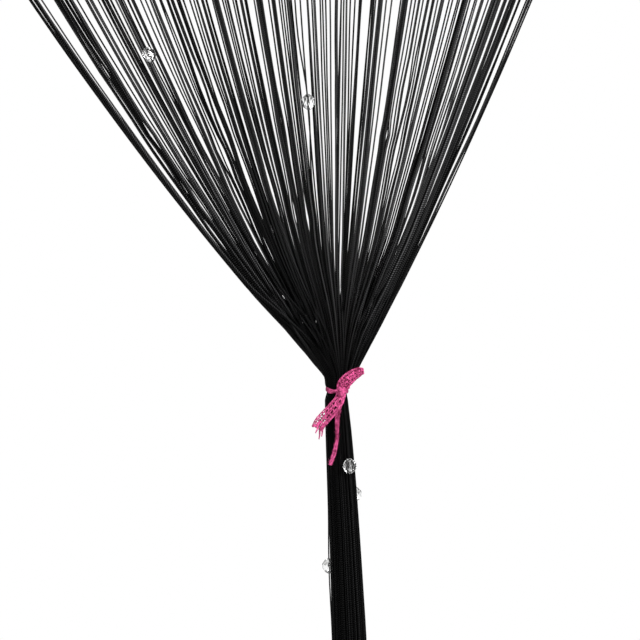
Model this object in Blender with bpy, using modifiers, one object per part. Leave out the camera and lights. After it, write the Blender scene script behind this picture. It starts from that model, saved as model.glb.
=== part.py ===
"""A string curtain, gathered to one side by a ribbon tie and hanging from its heading.

Metres, +Z up, the front faces -Y. The origin is the middle of the heading's top edge.
Each string keeps its cut length, so a string that is led further sideways ends higher up.
"""

import math
from collections import namedtuple

import bmesh
import bpy

MM = 0.001

# Driving sizes
CURTAIN_WIDTH = 0.900
CURTAIN_DROP = 2.000
HEADING_HEIGHT = 0.060
HEADING_THICKNESS = 0.002
HEADING_EDGE_ROUND = 0.0004
SEAM_GAP = 0.0003
SPINE_HEIGHT = 0.012
STRING_LENGTH = CURTAIN_DROP - HEADING_HEIGHT
HALVINGS = 60

# The neck, where the fan of strings comes together
NECK_SIDEWAYS = 0.1026
NECK_DROP = 0.937
NECK_HALF_WIDTH = 0.0068
NECK_EDGE_ROUND = 0.0014
NECK_Z = -HEADING_HEIGHT - NECK_DROP
LONGEST_BELOW = STRING_LENGTH - NECK_DROP

# The tie sits just under the neck
TIE_BELOW_NECK = 0.0052
TIE_Z = NECK_Z - TIE_BELOW_NECK
TIE_X = 0.0995

# Depth of the strings, front to back
DEPTH_AT_HEADING = 0.0016
DEPTH_AT_TIE = 0.0132
DEPTH_AT_ENDS = 0.0240
RIM_DEPTH_SHARE = 0.15

# Rows of the comb: from the spine down to the neck, on to the parting, then down to the ends
FAN_ROWS = 20
FAN_ROW_SPREAD = 2.0
BUNDLE_ROWS = 12
BUNDLE_ROW_SPREAD = 2.6
END_ROWS = 16

# Heights above the neck: a slot is closed at its root and widest from SLOT_OPEN to SLOT_EVENS.
# Towards the heading, where the strings are evenly spaced, all slots become EVEN_SLOT wide.
SLOT_ROOT_LOWEST = 0.060
SLOT_ROOT_HIGHEST = 0.110
SLOT_OPEN = 0.150
SLOT_EVENS = 0.250
EVEN_SLOT = 5.0
WIDEST_SLOT = 27.0
SMALLEST_OPENING = 0.15

# The loose ends: where the bundle starts to part, and how wide its partings are
PARTING_START = 0.60
PARTING_SHARE = 60.0

# Locks from left to right, in thousandths of the fan's width:
# strings = width of the lock, gap = slot after it, parts = 1 where the loose ends part after it
Lock = namedtuple("Lock", "strings gap parts")
LOCK_ROWS = (
    # strings, gap, parts
    (25, 27, 0),
    (35, 20, 1),
    (16, 20, 0),
    (12, 6, 0),
    (44, 12, 1),
    (28, 8, 0),
    (31, 6, 0),
    (15, 7, 0),
    (19, 5, 1),
    (16, 11, 0),
    (41, 8, 0),
    (18, 11, 1),
    (19, 12, 0),
    (50, 8, 1),
    (7, 8, 0),
    (17, 6, 0),
    (14, 5, 0),
    (7, 8, 0),
    (25, 8, 1),
    (20, 14, 0),
    (35, 5, 0),
    (8, 14, 1),
    (21, 6, 0),
    (16, 5, 0),
    (18, 7, 0),
    (15, 18, 1),
    (29, 6, 0),
    (22, 5, 0),
    (65, 12, 1),
    (14, 0, 0),
)
LOCKS = tuple(Lock(*row) for row in LOCK_ROWS)

# The bundle below the neck, in metres: its middle is measured from the neck's middle
Level = namedtuple("Level", "below middle half_width")
BUNDLE_LEVELS = (
    # below, middle, half_width
    (0.000, -0.0028, 0.0071),
    (0.0052, -0.0030, 0.0071),
    (0.030, -0.0013, 0.0083),
    (0.060, 0.0005, 0.0092),
    (0.090, 0.0022, 0.0096),
    (0.150, 0.0050, 0.0108),
    (0.250, 0.0076, 0.0114),
    (0.450, 0.0094, 0.0125),
    (0.700, 0.0100, 0.0140),
    (0.950, 0.0102, 0.0160),
)
BUNDLE = tuple(Level(*row) for row in BUNDLE_LEVELS)

# The tie: the wrap round the neck, and the knot in front of it
WRAP_HEIGHT = 0.0030
WRAP_THICKNESS = 0.0010
WRAP_CLEARANCE = 0.0006
WRAP_SIDES = 40
KNOT_RADII = (0.0030, 0.0026, 0.0027)
KNOT_SIDEWAYS = 0.0033
KNOT_PROUD = 0.0016
KNOT_SIDES = 20
KNOT_RINGS = 12
RIBBON_THICKNESS = 0.0012
RIBBON_SEGMENTS = 14

# The ribbon's three free ends, in millimetres from the middle of the wrap:
# out = how far in front of the wrap's own front
Station = namedtuple("Station", "across up out width")
UPPER_END = (
    # across, up, out, width
    (3.7, 0.8, 0.2, 5.6),
    (4.4, 3.4, 0.9, 7.0),
    (6.6, 6.8, 1.7, 7.0),
    (10.3, 9.9, 2.2, 6.2),
    (14.1, 11.9, 2.3, 4.8),
    (16.6, 12.3, 2.1, 2.8),
)
LOWER_END = (
    # across, up, out, width
    (3.7, -0.5, 0.2, 4.8),
    (1.7, -5.4, 1.2, 5.7),
    (-1.3, -9.5, 1.8, 6.4),
    (-5.2, -13.9, 2.3, 7.0),
    (-9.0, -18.2, 2.0, 6.8),
    (-11.3, -21.9, 1.2, 6.4),
)
TAIL = (
    # across, up, out, width
    (2.4, -6.2, 0.8, 3.2),
    (1.7, -10.3, 1.0, 3.3),
    (1.1, -14.4, 1.3, 3.1),
    (0.9, -18.6, 1.5, 2.7),
    (0.9, -23.3, 1.7, 2.2),
    (0.6, -28.6, 1.9, 2.3),
    (-0.3, -33.9, 2.1, 2.6),
    (-1.7, -39.3, 2.3, 2.8),
    (-3.5, -43.4, 2.5, 2.3),
)

# Colours as Principled BSDF values: base colour, roughness
YARN_BLACK = ((0.010, 0.010, 0.011, 1.0), 0.55)
BAND_BLACK = ((0.013, 0.013, 0.014, 1.0), 0.70)
RIBBON_PINK = ((0.720, 0.030, 0.200, 1.0), 0.60)


def clear_scene():
    """Removes whatever the scene holds, so that the file can be run again."""
    for old in list(bpy.data.objects):
        bpy.data.objects.remove(old, do_unlink=True)


def new_collection(name):
    """A collection linked to the scene."""
    collection = bpy.data.collections.new(name)
    bpy.context.scene.collection.children.link(collection)
    return collection


def new_material(name, look):
    """A Principled BSDF material of one colour and roughness."""
    colour, roughness = look
    material = bpy.data.materials.new(name)
    material.use_nodes = True
    shader = material.node_tree.nodes["Principled BSDF"]
    shader.inputs["Base Color"].default_value = colour
    shader.inputs["Roughness"].default_value = roughness
    shader.inputs["Metallic"].default_value = 0.0
    return material


def add_object(name, bm, collection, material):
    """Turns a bmesh into a named object with its own material."""
    mesh = bpy.data.meshes.new(name)
    bm.to_mesh(mesh)
    bm.free()
    mesh.materials.append(material)
    obj = bpy.data.objects.new(name, mesh)
    collection.objects.link(obj)
    return obj


def bundle_level(below):
    """The bundle's middle and half width at a depth below the neck, on straight lines between levels."""
    for high, low in zip(BUNDLE, BUNDLE[1:]):
        if below <= low.below:
            share = max(0.0, (below - high.below) / (low.below - high.below))
            middle = high.middle + share * (low.middle - high.middle)
            return middle, high.half_width + share * (low.half_width - high.half_width)
    return BUNDLE[-1].middle, BUNDLE[-1].half_width


def smooth_step(share):
    """0 to 1 with soft ends."""
    share = min(1.0, max(0.0, share))
    return share * share * (3.0 - 2.0 * share)


def smooth_less(a, b, rounding):
    """The smaller of two numbers, rounded where they cross."""
    return (a + b - math.hypot(a - b, rounding)) / 2.0


class LedString:
    """A string led sideways from the heading to the neck, hanging as a catenary, the rest free below."""

    def __init__(self, run):
        self.run = run
        self.pull, self.root = self.solve()
        self.free = math.sqrt(self.root**2 - self.pull**2)

    def solve(self):
        """The catenary's sideways pull, as a length of string, found by halving."""
        low, high = 1e-6, STRING_LENGTH
        for _ in range(HALVINGS):
            pull = (low + high) / 2.0
            root = math.hypot(pull, STRING_LENGTH) - NECK_DROP
            if root > pull and self.across(NECK_DROP, pull, root) < self.run:
                low = pull
            else:
                high = pull
        return low, math.hypot(low, STRING_LENGTH) - NECK_DROP

    @staticmethod
    def across(height, pull, root):
        """How far sideways a catenary is at a height above the neck."""
        return pull * (math.acosh((root + height) / pull) - math.acosh(root / pull))

    def sideways(self, height):
        """How far sideways the string is at a height above the neck; below it the line goes straight on."""
        if height <= 0.0:
            return height * self.pull / self.free
        return self.across(height, self.pull, self.root)


class Fan:
    """The outline of the strings: its left and right edges, and the height of its ends."""

    def __init__(self):
        half = CURTAIN_WIDTH / 2.0
        self.left = LedString(half + NECK_SIDEWAYS - NECK_HALF_WIDTH)
        self.right = LedString(half - NECK_SIDEWAYS - NECK_HALF_WIDTH)

    def edges(self, z):
        """The left and right edge at height z."""
        height = z - NECK_Z
        offset, half = bundle_level(max(0.0, -height))
        middle = NECK_SIDEWAYS + offset
        left = NECK_SIDEWAYS - NECK_HALF_WIDTH - self.left.sideways(height)
        right = NECK_SIDEWAYS + NECK_HALF_WIDTH + self.right.sideways(height)
        return (
            smooth_less(left, middle - half, NECK_EDGE_ROUND),
            -smooth_less(-right, -middle - half, NECK_EDGE_ROUND),
        )

    def end_z(self, place):
        """The height of the cut end of the string at a place, 0 at the left edge and 1 at the right."""
        half = CURTAIN_WIDTH / 2.0
        start = -half + place * CURTAIN_WIDTH
        run = abs(start - NECK_SIDEWAYS)
        return NECK_Z - LedString(max(run - NECK_HALF_WIDTH, MM)).free

    def depth(self, z):
        """Front to back at height z: thin at the heading, round at the tie, loose at the ends."""
        if z > TIE_Z:
            share = (z - TIE_Z) / (NECK_DROP + TIE_BELOW_NECK)
            return DEPTH_AT_TIE + share * (DEPTH_AT_HEADING - DEPTH_AT_TIE)
        share = math.sqrt((TIE_Z - z) / (CURTAIN_DROP + TIE_Z))
        return DEPTH_AT_TIE + share * (DEPTH_AT_ENDS - DEPTH_AT_TIE)


def slot_width(lock, height):
    """A slot's width at a height above the neck, in thousandths, from its root to the heading."""
    widest = lock.gap
    root = SLOT_ROOT_HIGHEST - (SLOT_ROOT_HIGHEST - SLOT_ROOT_LOWEST) * widest / WIDEST_SLOT
    opening = smooth_step((height - root) / (SLOT_OPEN - root))
    evenness = smooth_step((height - SLOT_EVENS) / (NECK_DROP - SPINE_HEIGHT - SLOT_EVENS))
    return opening * (widest + evenness * (EVEN_SLOT - widest))


def parting_width(lock, below):
    """How far the loose ends stand apart after a lock, in thousandths of the bundle's width."""
    parting = smooth_step((below - PARTING_START) / (LONGEST_BELOW - PARTING_START))
    return lock.parts * PARTING_SHARE * parting


def column_places(z):
    """The locks' left and right edges at height z, as places from 0 to 1, a pair for each lock."""
    height = z - NECK_Z
    widths = []
    for lock in LOCKS:
        opening = slot_width(lock, height) + parting_width(lock, -height)
        widths.append((lock.strings, opening if opening > SMALLEST_OPENING else 0.0))
    widths[-1] = (LOCKS[-1].strings, 0.0)
    total = sum(strings + opening for strings, opening in widths)
    places = []
    reached = 0.0
    for strings, opening in widths:
        places.append((reached / total, (reached + strings) / total))
        reached += strings + opening
    return places


def row_heights():
    """The comb's rows from the top down: the spine's two, the fan's and the bundle's."""
    top = -HEADING_HEIGHT - SEAM_GAP
    spine = top - SPINE_HEIGHT
    fan = [
        NECK_Z + (spine - NECK_Z) * (1.0 - step / FAN_ROWS) ** FAN_ROW_SPREAD
        for step in range(FAN_ROWS + 1)
    ]
    bundle = [
        NECK_Z - PARTING_START * (step / BUNDLE_ROWS) ** BUNDLE_ROW_SPREAD
        for step in range(1, BUNDLE_ROWS + 1)
    ]
    ends = [
        NECK_Z - PARTING_START - (LONGEST_BELOW - PARTING_START) * step / END_ROWS
        for step in range(1, END_ROWS + 1)
    ]
    return [top, *fan, *bundle, *ends]


def rim_share(place):
    """Share of the full depth across the bundle: round in the middle, with a rim at both edges."""
    across = 2.0 * place - 1.0
    return max(RIM_DEPTH_SHARE, math.sqrt(max(0.0, 1.0 - across * across)))


def depth_share(fan, place, z):
    """A point's depth as a share of the deepest: flat at the heading, rounded from the neck down."""
    flatness = smooth_step((z - NECK_Z) / NECK_DROP)
    rounded = rim_share(place)
    return (flatness + (1.0 - flatness) * rounded) * fan.depth(z) / DEPTH_AT_ENDS


def make_strings(collection):
    """The strings as one comb: a sheet with slots, given its depth by a Solidify modifier."""
    fan = Fan()
    rows = row_heights()
    ends = [fan.end_z((left + right) / 2.0) for left, right in column_places(rows[0])]
    bm = bmesh.new()
    weights = bm.verts.layers.deform.verify()
    made = {}

    def vertex(row, place, z):
        """The sheet's point at a row and place; points that meet are one."""
        key = (row, round(place, 6))
        if key not in made:
            left, right = fan.edges(z)
            point = bm.verts.new((left + place * (right - left), 0.0, z))
            point[weights][0] = depth_share(fan, place, z)
            made[key] = point
        return made[key]

    def cell(row, low, high, z_top, z_low):
        """One face between two rows, from the places of its top and low corners."""
        corners = [
            vertex(row, low[0], z_top),
            vertex(row + 1, high[0], z_low),
            vertex(row + 1, high[1], z_low),
            vertex(row, low[1], z_top),
        ]
        bm.faces.new(corners)

    for row, (z_top, z_low) in enumerate(zip(rows, rows[1:])):
        top_places = column_places(z_top)
        low_places = column_places(z_low)
        for index, (top, low) in enumerate(zip(top_places, low_places)):
            if (z_top + z_low) / 2.0 < ends[index]:
                continue
            cell(row, top, low, z_top, z_low)
            if row == 0 and index + 1 < len(LOCKS):
                web_top = (top[1], top_places[index + 1][0])
                web_low = (low[1], low_places[index + 1][0])
                cell(row, web_top, web_low, z_top, z_low)
    bmesh.ops.recalc_face_normals(bm, faces=bm.faces)
    obj = add_object("strings", bm, collection, new_material("yarn", YARN_BLACK))
    obj.vertex_groups.new(name="depth")
    solid = obj.modifiers.new("depth", "SOLIDIFY")
    solid.thickness = DEPTH_AT_ENDS
    solid.offset = 0.0
    solid.vertex_group = "depth"
    return obj


def catmull_rom(a, b, c, d, share):
    """A number on the smooth curve from b to c, which comes from a and goes on to d."""
    bend = 2.0 * a - 5.0 * b + 4.0 * c - d
    twist = 3.0 * (b - c) + d - a
    return b + 0.5 * share * (c - a + share * (bend + share * twist))


def smooth_stations(rows, segments):
    """Stations at even steps on the smooth curve through a table's rows."""
    padded = [rows[0], *rows, rows[-1]]
    stations = []
    for step in range(segments + 1):
        along = step / segments * (len(rows) - 1)
        start = min(int(along), len(rows) - 2)
        columns = zip(*padded[start : start + 4])
        stations.append(Station(*(catmull_rom(*column, along - start) for column in columns)))
    return stations


def make_heading(collection):
    """The woven band that the strings hang from, a flat strip with softly rounded edges."""
    bm = bmesh.new()
    bmesh.ops.create_cube(bm, size=1.0)
    bmesh.ops.scale(bm, vec=(CURTAIN_WIDTH, HEADING_THICKNESS, HEADING_HEIGHT), verts=bm.verts)
    obj = add_object("heading", bm, collection, new_material("band", BAND_BLACK))
    obj.location.z = -HEADING_HEIGHT / 2.0
    soft = obj.modifiers.new("soft_edges", "BEVEL")
    soft.width = HEADING_EDGE_ROUND
    soft.segments = 2
    return obj


def wrap_front():
    """How far the front of the wrap stands before the curtain's plane."""
    return DEPTH_AT_TIE / 2.0 + WRAP_CLEARANCE + WRAP_THICKNESS


def make_wrap(collection, material):
    """The ribbon's turn round the neck: an oval band that just clears the strings."""
    fan = Fan()
    high = fan.edges(TIE_Z + WRAP_HEIGHT / 2.0)
    low = fan.edges(TIE_Z - WRAP_HEIGHT / 2.0)
    left, right = min(high[0], low[0]), max(high[1], low[1])
    across = (right - left) / 2.0 + WRAP_CLEARANCE
    deep = DEPTH_AT_TIE / 2.0 + WRAP_CLEARANCE
    bm = bmesh.new()
    bmesh.ops.create_circle(bm, segments=WRAP_SIDES, radius=1.0)
    bmesh.ops.scale(bm, vec=(across, deep, 1.0), verts=bm.verts)
    risen = bmesh.ops.extrude_edge_only(bm, edges=bm.edges[:])["geom"]
    raised = [item for item in risen if isinstance(item, bmesh.types.BMVert)]
    bmesh.ops.translate(bm, vec=(0.0, 0.0, WRAP_HEIGHT), verts=raised)
    bmesh.ops.recalc_face_normals(bm, faces=bm.faces)
    obj = add_object("tie", bm, collection, material)
    obj.location = ((left + right) / 2.0, 0.0, TIE_Z - WRAP_HEIGHT / 2.0)
    band = obj.modifiers.new("thickness", "SOLIDIFY")
    band.thickness = WRAP_THICKNESS
    band.offset = 1.0
    return obj


def make_ribbon_end(name, table, collection, material):
    """One free end of the ribbon: a strip along a table's smooth curve, with its thickness."""
    stations = smooth_stations(table, RIBBON_SEGMENTS)
    bm = bmesh.new()
    edges = []
    for index, station in enumerate(stations):
        before = stations[max(0, index - 1)]
        after = stations[min(len(stations) - 1, index + 1)]
        run, rise = after.across - before.across, after.up - before.up
        half = station.width / 2.0 / math.hypot(run, rise)
        y = -wrap_front() - station.out * MM
        pair = []
        for sign in (-1.0, 1.0):
            x = TIE_X + (station.across - sign * rise * half) * MM
            z = TIE_Z + (station.up + sign * run * half) * MM
            pair.append(bm.verts.new((x, y, z)))
        edges.append(pair)
    for low, high in zip(edges, edges[1:]):
        bm.faces.new([low[0], low[1], high[1], high[0]])
    obj = add_object(name, bm, collection, material)
    strip = obj.modifiers.new("thickness", "SOLIDIFY")
    strip.thickness = RIBBON_THICKNESS
    strip.offset = 0.0
    return obj


def make_knot(collection, material):
    """The knot, a squat ball on the front of the wrap."""
    bm = bmesh.new()
    bmesh.ops.create_uvsphere(bm, u_segments=KNOT_SIDES, v_segments=KNOT_RINGS, radius=1.0)
    bmesh.ops.scale(bm, vec=KNOT_RADII, verts=bm.verts)
    obj = add_object("knot", bm, collection, material)
    obj.location = (TIE_X + KNOT_SIDEWAYS, -wrap_front() - KNOT_PROUD, TIE_Z)
    return obj


def make_tie(collection, pieces):
    """The ribbon tie as one solid: the wrap, joined with the knot and the free ends."""
    material = new_material("ribbon", RIBBON_PINK)
    tie = make_wrap(collection, material)
    joined = [
        make_knot(pieces, material),
        make_ribbon_end("upper_end", UPPER_END, pieces, material),
        make_ribbon_end("lower_end", LOWER_END, pieces, material),
        make_ribbon_end("tail", TAIL, pieces, material),
    ]
    for piece in joined:
        piece.hide_render = True
        piece.display_type = "WIRE"
        join = tie.modifiers.new("join_" + piece.name, "BOOLEAN")
        join.operation = "UNION"
        join.solver = "EXACT"
        join.object = piece
    return tie


def main():
    """Builds the curtain."""
    clear_scene()
    curtain = new_collection("string_curtain")
    pieces = new_collection("tie_pieces")
    make_heading(curtain)
    make_strings(curtain)
    make_tie(curtain, pieces)


main()
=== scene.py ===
"""The looks of a gathered string curtain: yarn strings, glass beads, a woven heading and a ribbon tie.

Metres, +Z up, the front faces -Y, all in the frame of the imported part. The fan of strings follows the
same hanging curves as the part, and each string keeps its own cut length.
"""

import logging
import math
from dataclasses import dataclass, field
from enum import Enum
from typing import NamedTuple, Sequence

import bmesh
import bpy
import numpy as np
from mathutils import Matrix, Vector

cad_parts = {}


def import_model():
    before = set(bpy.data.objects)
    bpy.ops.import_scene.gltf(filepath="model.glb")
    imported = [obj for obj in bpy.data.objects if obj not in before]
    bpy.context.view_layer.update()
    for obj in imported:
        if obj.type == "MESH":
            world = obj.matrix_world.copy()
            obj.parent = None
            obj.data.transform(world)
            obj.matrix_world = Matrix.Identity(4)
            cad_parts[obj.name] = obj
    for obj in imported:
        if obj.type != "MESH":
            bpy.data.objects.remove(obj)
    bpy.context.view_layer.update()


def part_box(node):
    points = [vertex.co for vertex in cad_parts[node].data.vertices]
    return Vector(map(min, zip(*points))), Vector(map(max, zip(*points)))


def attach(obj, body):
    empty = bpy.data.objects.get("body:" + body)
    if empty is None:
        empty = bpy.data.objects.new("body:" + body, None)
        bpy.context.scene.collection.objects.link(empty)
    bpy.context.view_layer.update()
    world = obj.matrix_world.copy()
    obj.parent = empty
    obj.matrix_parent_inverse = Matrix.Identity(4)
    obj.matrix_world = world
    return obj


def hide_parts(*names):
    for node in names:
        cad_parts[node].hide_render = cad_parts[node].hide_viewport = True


LOG = logging.getLogger("string_curtain")
BODY = "root"
MM = 0.001
YARN_COORDINATES = "yarn"
YARN_TONE = "tone"

NECK_SIDEWAYS = 0.1026
NECK_DROP = 0.937
NECK_HALF_WIDTH = 0.0068
NECK_EDGE_ROUND = 0.0014
TIE_BELOW_NECK = 0.0052
TIE_X = 0.0995
HALVINGS = 60

UP = (0.0, 0.0, 1.0)

Points = np.ndarray


class Face(Enum):
    """Which side of the curtain a bead lies on, as the sign of Y."""

    FRONT = -1.0
    BACK = 1.0


class Level(NamedTuple):
    """A depth below the neck, with the bundle's middle and half width there, in metres."""

    below: float
    middle: float
    half_width: float


BUNDLE = (
    Level(0.000, -0.0028, 0.0071),
    Level(0.0052, -0.0030, 0.0071),
    Level(0.030, -0.0013, 0.0083),
    Level(0.060, 0.0005, 0.0092),
    Level(0.090, 0.0022, 0.0096),
    Level(0.150, 0.0050, 0.0108),
    Level(0.250, 0.0076, 0.0114),
    Level(0.450, 0.0094, 0.0125),
    Level(0.700, 0.0100, 0.0140),
    Level(0.950, 0.0102, 0.0160),
)


class Gap(NamedTuple):
    """A gap between strings, read off the photograph.

    at and wide are in thousandths of the fan's width at the photograph's top edge. closes and opens are
    heights above the neck in millimetres: the gap is shut below closes, and above opens where that is given.
    """

    at: float
    wide: float
    closes: float
    opens: float = math.inf


GAP_ROWS = (
    (7.0, 3.0, 183), (21.0, 4.0, 184), (28.5, 23.5, 72), (58.0, 3.0, 208), (69.0, 4.0, 192),
    (78.0, 3.0, 193), (88.0, 7.0, 104), (98.0, 14.0, 118), (118.0, 2.5, 202), (126.0, 12.0, 66),
    (141.0, 4.0, 175), (150.0, 1.5, 205), (158.0, 4.0, 150), (166.0, 5.0, 148), (176.0, 2.0, 199),
    (185.0, 1.5, 211), (190.0, 5.0, 187), (200.0, 2.0, 193), (209.0, 12.0, 130), (224.0, 6.0, 164),
    (233.0, 6.0, 198), (243.0, 1.5, 199), (252.0, 7.0, 152), (261.0, 2.0, 205), (266.0, 6.5, 198),
    (279.0, 3.0, 210), (287.0, 7.0, 150), (301.0, 4.0, 191), (309.0, 9.0, 120), (322.0, 3.0, 199),
    (328.0, 3.0, 136), (336.0, 5.0, 72), (347.0, 3.0, 146), (355.0, 6.0, 105), (363.0, 3.0, 136),
    (376.0, 7.0, 130), (386.5, 2.0, 175), (392.0, 2.0, 202), (398.0, 4.5, 106), (406.0, 3.0, 190),
    (413.0, 4.5, 79), (424.0, 3.0, 187), (434.5, 11.5, 111), (448.5, 1.5, 181), (463.0, 12.5, 106),
    (478.0, 2.0, 193), (489.0, 5.5, 109), (498.0, 2.0, 157), (503.0, 2.5, 199), (508.0, 2.0, 163),
    (517.0, 2.0, 190), (523.0, 2.5, 193), (528.0, 9.0, 100), (540.0, 9.5, 79), (556.0, 2.0, 187),
    (562.0, 2.5, 133), (569.0, 5.5, 85), (578.0, 2.0, 199), (583.5, 3.0, 163), (590.0, 6.0, 100),
    (599.0, 8.0, 58), (613.0, 4.0, 187), (621.0, 3.0, 100), (626.5, 1.5, 193), (632.0, 4.0, 126),
    (639.5, 6.5, 151), (648.0, 6.5, 139), (661.0, 16.0, 82), (681.0, 2.0, 199), (688.0, 4.5, 106),
    (702.5, 5.0, 154), (711.0, 6.0, 64), (721.0, 15.5, 82), (738.0, 3.0, 172), (752.0, 5.0, 162),
    (761.0, 5.0, 55), (768.5, 3.5, 208), (777.0, 3.0, 193), (782.5, 6.5, 162), (791.0, 3.0, 151),
    (797.0, 2.5, 163), (805.5, 4.5, 105), (812.0, 6.0, 202), (824.0, 8.5, 88), (835.0, 2.5, 193),
    (840.0, 7.0, 79), (849.0, 3.0, 154), (855.0, 3.0, 199), (871.0, 2.0, 187), (877.0, 5.5, 148),
    (885.0, 2.0, 193), (890.0, 5.0, 178), (901.0, 9.0, 190), (913.0, 4.0, 115), (936.0, 5.0, 124),
    (949.0, 3.0, 196), (966.0, 4.0, 133), (975.0, 9.0, 55), (986.0, 4.0, 190), (995.0, 1.5, 205),
)
LATE_GAP_ROWS = (
    (54.5, 9.0, 69, 109), (55.5, 4.5, 112, 157), (63.0, 4.0, 172, 204), (72.0, 5.5, 135, 160),
    (66.0, 4.0, 108, 127), (84.0, 4.0, 88, 124), (204.0, 8.0, 108, 181), (235.5, 8.0, 82, 142),
    (248.0, 5.0, 122, 156), (260.0, 4.5, 122, 148), (275.0, 4.5, 154, 201), (284.5, 5.5, 121, 187),
    (304.0, 5.0, 148, 187), (298.0, 10.0, 86, 154), (370.0, 5.0, 88, 140), (430.0, 6.0, 88, 115),
    (453.5, 3.5, 130, 180), (478.0, 8.0, 86, 112), (747.0, 5.0, 140, 157), (775.0, 7.0, 148, 201),
    (783.0, 6.5, 112, 160), (873.0, 5.0, 90, 142), (897.0, 5.5, 103, 195), (992.0, 8.0, 67, 166),
)
GAPS = tuple(Gap(*row) for row in GAP_ROWS)
LATE_GAPS = tuple(Gap(*row) for row in LATE_GAP_ROWS)
THOUSAND = 1000.0


def smooth_step(share: Points) -> Points:
    """0 to 1 with soft ends, for each number."""
    share = np.clip(share, 0.0, 1.0)
    return share * share * (3.0 - 2.0 * share)


def smooth_less(a: Points, b: Points, rounding: float) -> Points:
    """The smaller of two numbers, rounded where they cross."""
    return (a + b - np.hypot(a - b, rounding)) / 2.0


def catmull_rom(rows: Sequence[Sequence[float]], steps: int) -> Points:
    """Points at even steps on the smooth curve through a table's rows.

    Args:
        rows: The table, one row for each point that the curve goes through.
        steps: How many even steps the curve is cut into.

    Returns:
        An array with a row for each of the steps + 1 points.
    """
    table = np.array(rows, float)
    padded = np.vstack([2.0 * table[0] - table[1], table, 2.0 * table[-1] - table[-2]])
    along = np.linspace(0.0, len(table) - 1.0, steps + 1)
    start = np.minimum(along.astype(int), len(table) - 2)
    share = (along - start)[:, None]
    a, b, c, d = (padded[start + k] for k in range(4))
    bend = 2.0 * a - 5.0 * b + 4.0 * c - d
    twist = 3.0 * (b - c) + d - a
    return b + 0.5 * share * (c - a + share * (bend + share * twist))


@dataclass(frozen=True)
class Photograph:
    """Where the photograph's pixels lie in the curtain's plane."""

    side: int = 640
    pixel: float = 0.0006
    neck_column: float = 340.7
    neck_row: float = 382.3
    neck_z: float = -0.997
    lens: float = 85.0
    sensor: float = 36.0

    def x(self, column: float) -> float:
        """The place across the curtain at a pixel column."""
        return NECK_SIDEWAYS + (column - self.neck_column) * self.pixel

    def z(self, row: float) -> float:
        """The height at a pixel row."""
        return self.neck_z - (row - self.neck_row) * self.pixel

    @property
    def distance(self) -> float:
        """How far in front of the curtain's plane the camera is."""
        return self.side * self.pixel * self.lens / self.sensor

    def point(self, column: float, row: float, y: float) -> tuple[float, float]:
        """The place across and the height of a point at depth y that shows at a pixel."""
        centre = self.side / 2.0
        nearer = 1.0 + y / self.distance
        x, z = self.x(centre), self.z(centre)
        return x + (self.x(column) - x) * nearer, z + (self.z(row) - z) * nearer


class LedString:
    """A string led sideways from the heading to the neck, hanging as a catenary, its rest free below."""

    def __init__(self, length: float, drop: float, run: float) -> None:
        """Solves the catenary.

        Args:
            length: The string's whole length.
            drop: How far the neck lies below the heading.
            run: How far sideways the neck lies from the string's start.
        """
        self.length = length
        self.drop = drop
        low, high = 1e-6, length
        for _ in range(HALVINGS):
            pull = (low + high) / 2.0
            root = math.hypot(pull, length) - drop
            if root > pull and self.across(drop, pull, root) < run:
                low = pull
            else:
                high = pull
        self.pull = low
        self.root = math.hypot(low, length) - drop
        self.free = math.sqrt(self.root**2 - self.pull**2)

    @staticmethod
    def across(height: Points, pull: float, root: float) -> Points:
        """How far sideways a catenary is at a height above the neck."""
        return pull * (np.arccosh((root + height) / pull) - math.acosh(root / pull))

    def sideways(self, height: Points) -> Points:
        """How far sideways the string is at each height; below the neck the line goes straight on."""
        above = self.across(np.maximum(height, 0.0), self.pull, self.root)
        return above + np.minimum(height, 0.0) * self.pull / self.free


@dataclass
class Outline:
    """The outline of all the strings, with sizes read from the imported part."""

    width: float
    heading: float
    drop: float
    depth_at_heading: float = 0.0016
    depth_at_tie: float = 0.0132
    depth_at_ends: float = 0.0240
    left: LedString = field(init=False)
    right: LedString = field(init=False)

    def __post_init__(self) -> None:
        """Solves the outermost strings."""
        self.string_length = self.drop - self.heading
        self.neck_z = -self.heading - NECK_DROP
        self.tie_z = self.neck_z - TIE_BELOW_NECK
        half = self.width / 2.0 - NECK_HALF_WIDTH
        self.left = LedString(self.string_length, NECK_DROP, half + NECK_SIDEWAYS)
        self.right = LedString(self.string_length, NECK_DROP, half - NECK_SIDEWAYS)

    def edges(self, z: Points) -> tuple[Points, Points]:
        """The strings' left and right edge.

        Args:
            z: Heights in the curtain's frame.

        Returns:
            The left edge at each height, and the right one.
        """
        height = np.asarray(z) - self.neck_z
        levels = np.array(BUNDLE)
        below = np.maximum(0.0, -height)
        middle = NECK_SIDEWAYS + np.interp(below, levels[:, 0], levels[:, 1])
        half = np.interp(below, levels[:, 0], levels[:, 2])
        left = NECK_SIDEWAYS - NECK_HALF_WIDTH - self.left.sideways(height)
        right = NECK_SIDEWAYS + NECK_HALF_WIDTH + self.right.sideways(height)
        return (
            smooth_less(left, middle - half, NECK_EDGE_ROUND),
            -smooth_less(-right, -middle - half, NECK_EDGE_ROUND),
        )

    def depth(self, z: Points) -> Points:
        """Front to back at each height: thin at the heading, round at the tie, loose at the ends."""
        z = np.asarray(z)
        up = (z - self.tie_z) / (NECK_DROP + TIE_BELOW_NECK)
        down = np.sqrt(np.maximum(0.0, (self.tie_z - z) / (self.drop + self.tie_z)))
        fan = self.depth_at_tie + up * (self.depth_at_heading - self.depth_at_tie)
        bundle = self.depth_at_tie + down * (self.depth_at_ends - self.depth_at_tie)
        return np.where(z > self.tie_z, fan, bundle)

    def free_length(self, place: float) -> float:
        """How much of the string at a place, 0 at the left and 1 at the right, hangs below the neck."""
        run = abs(place * self.width - self.width / 2.0 - NECK_SIDEWAYS)
        return LedString(self.string_length, NECK_DROP, max(run - NECK_HALF_WIDTH, MM)).free


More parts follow.
